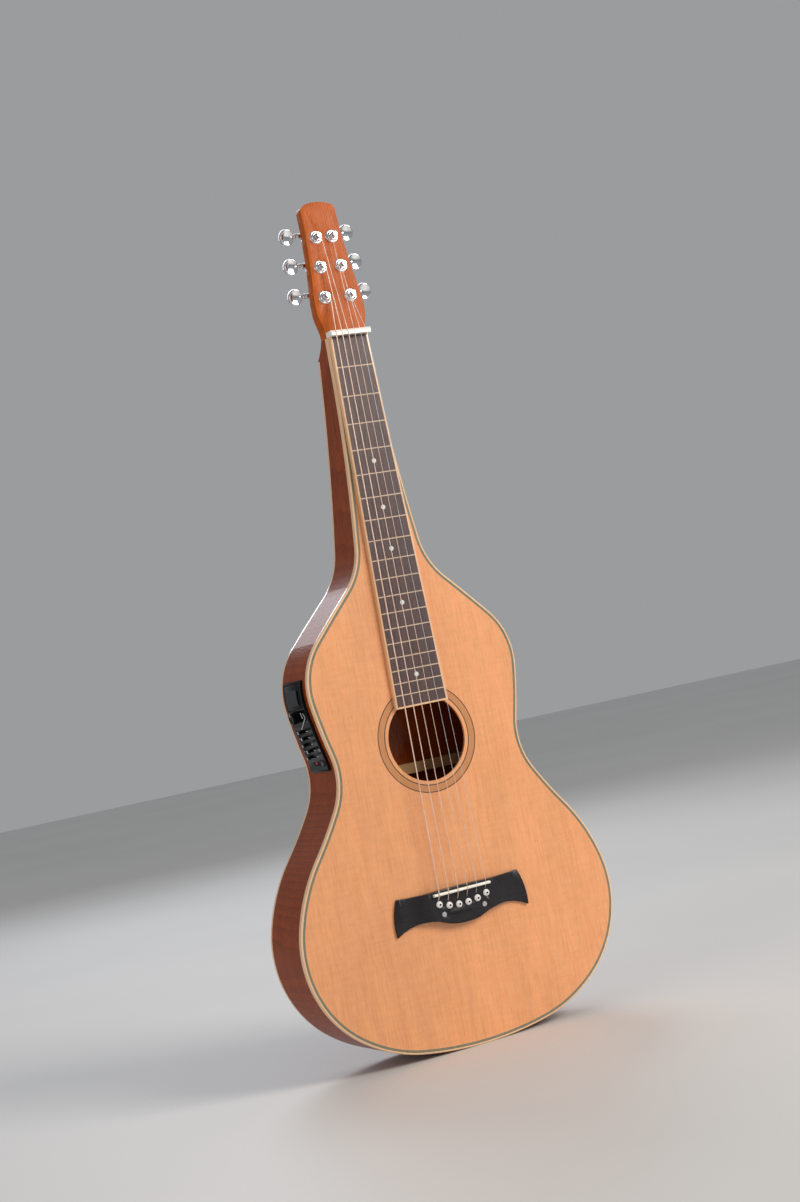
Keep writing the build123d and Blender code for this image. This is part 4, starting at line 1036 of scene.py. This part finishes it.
# ---------------------------------------------------------------- preamp
@dataclass(frozen=True)
class Preamp:
    """Side panel with battery door, volume knob, five sliders, tuner button and lamp."""
    proud: float = 2.2
    knob_z: float = 223.8
    knob_y: float = 43.0
    knob_radius: float = 7.2
    knob_height: float = 7.5
    slider_z: tuple[float, ...] = (206.6, 199.1, 191.7, 184.3, 176.9)
    slider_rest: tuple[float, ...] = (48.0, 45.0, 50.0, 44.0, 52.0)
    print_lift: float = 0.12

    def side_axis(self, y: float, z: float, proud: float) -> Matrix:
        """Frame on the bass side: local x towards the soundboard, y up, z straight out."""
        heading = OUTLINE.at(z)[1]
        out = Vector((-sin(heading), 0, -cos(heading)))
        forward = Vector((0, -1, 0))
        up = out.cross(forward)
        turn = Matrix((forward, up, out)).transposed().to_4x4()
        return Matrix.Translation(off_bass_side(y, z, proud)) @ turn

    def printed(self, path: Sequence[tuple[float, float]], width: float) -> Mesh:
        """A printed line on the panel.

        Args:
            path: (y, z) places of the line in millimetres.
            width: Width of the line in millimetres.

        Returns:
            A thin closed strip that follows the panel's curve.
        """
        fine: list[tuple[float, float]] = []
        for (y0, z0), (y1, z1) in zip(path, path[1:]):
            steps = max(2, round(sqrt((y1 - y0) ** 2 + (z1 - z0) ** 2) / 1.5))
            fine += [(y0 + (y1 - y0) * i / steps, z0 + (z1 - z0) * i / steps) for i in range(steps)]
        fine.append(path[-1])
        top = self.proud + self.print_lift
        low = self.proud - 0.05
        rings = []
        for number, (y, z) in enumerate(fine):
            before, after = fine[max(number - 1, 0)], fine[min(number + 1, len(fine) - 1)]
            dy, dz = after[0] - before[0], after[1] - before[1]
            size = sqrt(dy * dy + dz * dz)
            ny, nz = -dz / size * width / 2, dy / size * width / 2
            rings.append([off_bass_side(y + sign * ny, z + sign * nz, level)
                          for sign, level in ((1, top), (-1, top), (-1, low), (1, low))])
        return skinned(rings, capped=True)

    def knob(self) -> Mesh:
        """Fluted knob with a dished top and a skirt."""
        place = self.side_axis(self.knob_y, self.knob_z, 0.0)
        base = self.proud + 0.4
        levels = [(0.0, base), (1.0, base), (1.0, base + 0.9), (0.94, base + 1.3), (0.93, base + 6.1),
                  (0.9, base + 6.9), (0.82, base + 7.4), (0.72, base + 7.5), (0.6, base + 7.25),
                  (0.0, base + 7.1)]

        def fluted(angle: float, level: Sequence[float]) -> tuple[float, float]:
            """A circle, fluted where the fingers grip."""
            depth = 0.035 if base + 1.2 < level[-1] < base + 7.0 else 0.0
            radius = self.knob_radius * level[0] * (1 - depth * (0.5 + 0.5 * cos(24 * angle)))
            return radius * cos(angle), radius * sin(angle)

        grip = skinned(rings_at(place, levels, 96, fluted))
        shaft = turned([(0.0, -8.8), (2.95, -8.8), (2.95, base + 0.2), (0.0, base + 0.3)], place, 24)
        return join([grip, shaft])

    def box_mesh(self, place: Matrix, size: tuple[float, float, float], taper: float = 1.0) -> Mesh:
        """A block with its base on a plane.

        Args:
            place: The plane, with local z out of it.
            size: Lengths along local x, y and z in millimetres.
            taper: Size of the top against the base.

        Returns:
            The block's mesh.
        """
        hx, hy, height = size[0] / 2, size[1] / 2, size[2]
        corners = [(sx * hx * k, sy * hy * k, h) for h, k in ((0.0, 1.0), (height, taper))
                   for sx, sy in ((-1, -1), (1, -1), (1, 1), (-1, 1))]
        points = [place @ (Vector(c) * MM) for c in corners]
        faces = [(0, 1, 2, 3), (4, 5, 6, 7), (0, 1, 5, 4), (1, 2, 6, 5), (2, 3, 7, 6), (3, 0, 4, 7)]
        return points, faces

    def build(self) -> None:
        """Make the knob, the printing and the slider marks, which are partly a painted highlight on each cap's
        edge, and dress the rest.
        """
        eased_copy("preamp_panel", "gloss_black", 0.45, "eased_preamp_panel")
        dress(("preamp_case",), "case_black")
        dress(("battery",), "battery_jacket")
        dress(("battery_lamp",), "red_lens")
        eased_copy("battery_door", "gloss_black", 0.4, "eased_battery_door", "battery_door")
        eased_copy("tuner_button", "button_grey", 0.4, "eased_tuner_button", "tuner_button")
        new_piece("fluted_volume_knob", self.knob(), "gloss_black", "volume_knob", ("volume_knob",), 40.0)
        pointer = self.box_mesh(self.side_axis(self.knob_y, self.knob_z, self.proud + 7.75)
                                @ Matrix.Translation((0, 0.0044, 0)), (0.9, 3.6, 0.22))
        new_piece("volume_pointer", pointer, "gloss_black", "volume_knob", finish="white_print_and_highlight")
        for index, (z, y) in enumerate(zip(self.slider_z, self.slider_rest)):
            number = index + 1
            body = f"tone_slider_{number}"
            eased_copy(body, "slider_black", 0.3, f"eased_slider_{number}", body)
            # white block on each slider cap: partly a printed tick and partly a painted highlight, standing for
            # the light caught along the cap's edge
            place = self.side_axis(y, z, self.proud + 3.1)
            new_piece(f"slider_tick_and_highlight_{number}", self.box_mesh(place, (1.4, 3.3, 0.72)), "slider_black", body,
                      finish="white_print_and_highlight")
        marks = [self.printed([(24.4, 226.8), (22.5, 221.6), (42.1, 209.7)], 0.9),
                 self.printed([(29.5, 221.0), (30.5, 228.0)], 1.3)]
        for z in self.slider_z:
            marks.append(self.printed([(28.5, z), (33.0, z)], 0.5))
            marks.append(self.printed([(57.2, z), (59.2, z)], 0.5))
        marks.append(self.printed([(17.6, 182.0), (17.6, 185.2)], 0.8))
        marks.append(self.printed([(20.2, 182.6), (20.2, 184.6)], 0.8))
        new_piece("panel_printing", join(marks), "gloss_black", finish="white_print_and_highlight")


# ---------------------------------------------------------------- stage
@dataclass(frozen=True)
class Studio:
    """Pale floor, soft lights and the camera."""
    floor_half: float = 9.0
    lens_mm: float = 58.36
    eye: tuple[float, float, float] = (-1.00169, -1.98704, 0.41813)
    turn: tuple[float, float, float] = (92.2617, 11.27843, -26.74144)

    def floor(self) -> None:
        """A plain pale floor under the tail."""
        half = self.floor_half
        data = bpy.data.meshes.new("floor")
        corners = [(-half, -half, 0), (half, -half, 0), (half, half, 0), (-half, half, 0)]
        data.from_pydata(corners, [], [(0, 1, 2, 3)])
        material, tree, shader = new_material("pale_studio_floor")
        place = add_node(tree, "ShaderNodeTexCoord").outputs["Object"]
        clouds = add_node(tree, "ShaderNodeTexNoise", {"Scale": 1.3, "Detail": 3.0},
                          {"Vector": place}).outputs["Fac"]
        tone = add_node(tree, "ShaderNodeValToRGB", {"stops": [(0.3, "d9d8d6"), (0.7, "dfdedc")]},
                        {"Fac": clouds}).outputs["Color"]
        tree.links.new(tone, shader.inputs["Base Color"])
        shader.inputs["Roughness"].default_value = 0.55
        data.materials.append(material)
        obj = bpy.data.objects.new("floor", data)
        bpy.context.scene.collection.objects.link(obj)

    def light(self, name: str, place: tuple[float, float, float], aim: tuple[float, float, float],
              size: tuple[float, float], watts: float, tint: str) -> None:
        """Hang one soft panel light.

        Args:
            name: Name of the light.
            place: Where it hangs, in metres.
            aim: What it points at, in metres.
            size: Width and height of the panel, in metres.
            watts: Its power.
            tint: Colour of its light.
        """
        data = bpy.data.lights.new(name, "AREA")
        data.shape = "RECTANGLE"
        data.size, data.size_y = size
        data.energy = watts
        data.color = linear(tint)[:3]
        obj = bpy.data.objects.new(name, data)
        obj.location = place
        obj.rotation_euler = (Vector(aim) - Vector(place)).to_track_quat("-Z", "Y").to_euler()
        bpy.context.scene.collection.objects.link(obj)

    def build(self) -> None:
        """Set the floor, lights, sky and camera."""
        scene = bpy.context.scene
        self.floor()
        self.light("key_panel", (1.5, -2.3, 1.9), (0.0, 0.0, 0.5), (1.4, 1.4), 66.0, "fff8f0")
        self.light("side_panel", (-2.8, -1.0, 0.7), (-0.1, 0.0, 0.4), (1.8, 1.8), 14.0, "fffaf4")
        self.light("rear_panel", (0.6, 2.4, 1.9), (0.0, 0.0, 0.5), (1.6, 1.2), 26.0, "f4f7ff")
        world = bpy.data.worlds.new("pale_sky")
        world.use_nodes = True
        shade = world.node_tree.nodes["Background"]
        shade.inputs["Color"].default_value = linear("e9ebee")
        shade.inputs["Strength"].default_value = 0.4
        scene.world = world
        data = bpy.data.cameras.new("camera")
        data.lens = self.lens_mm
        data.sensor_width = 36.0
        data.clip_start = 0.05
        camera = bpy.data.objects.new("camera", data)
        camera.location = self.eye
        camera.rotation_euler = [radians(angle) for angle in self.turn]
        scene.collection.objects.link(camera)
        scene.camera = camera
        scene.view_settings.view_transform = "Standard"


def main() -> None:
    """Build every sub-assembly in order."""
    logging.basicConfig(level=logging.INFO, format="%(name)s: %(message)s")
    Body().build()
    Playing().build()
    Tuners().build()
    Preamp().build()
    Studio().build()
    LOG.info("sizes written")


if __name__ == "__main__":
    main()
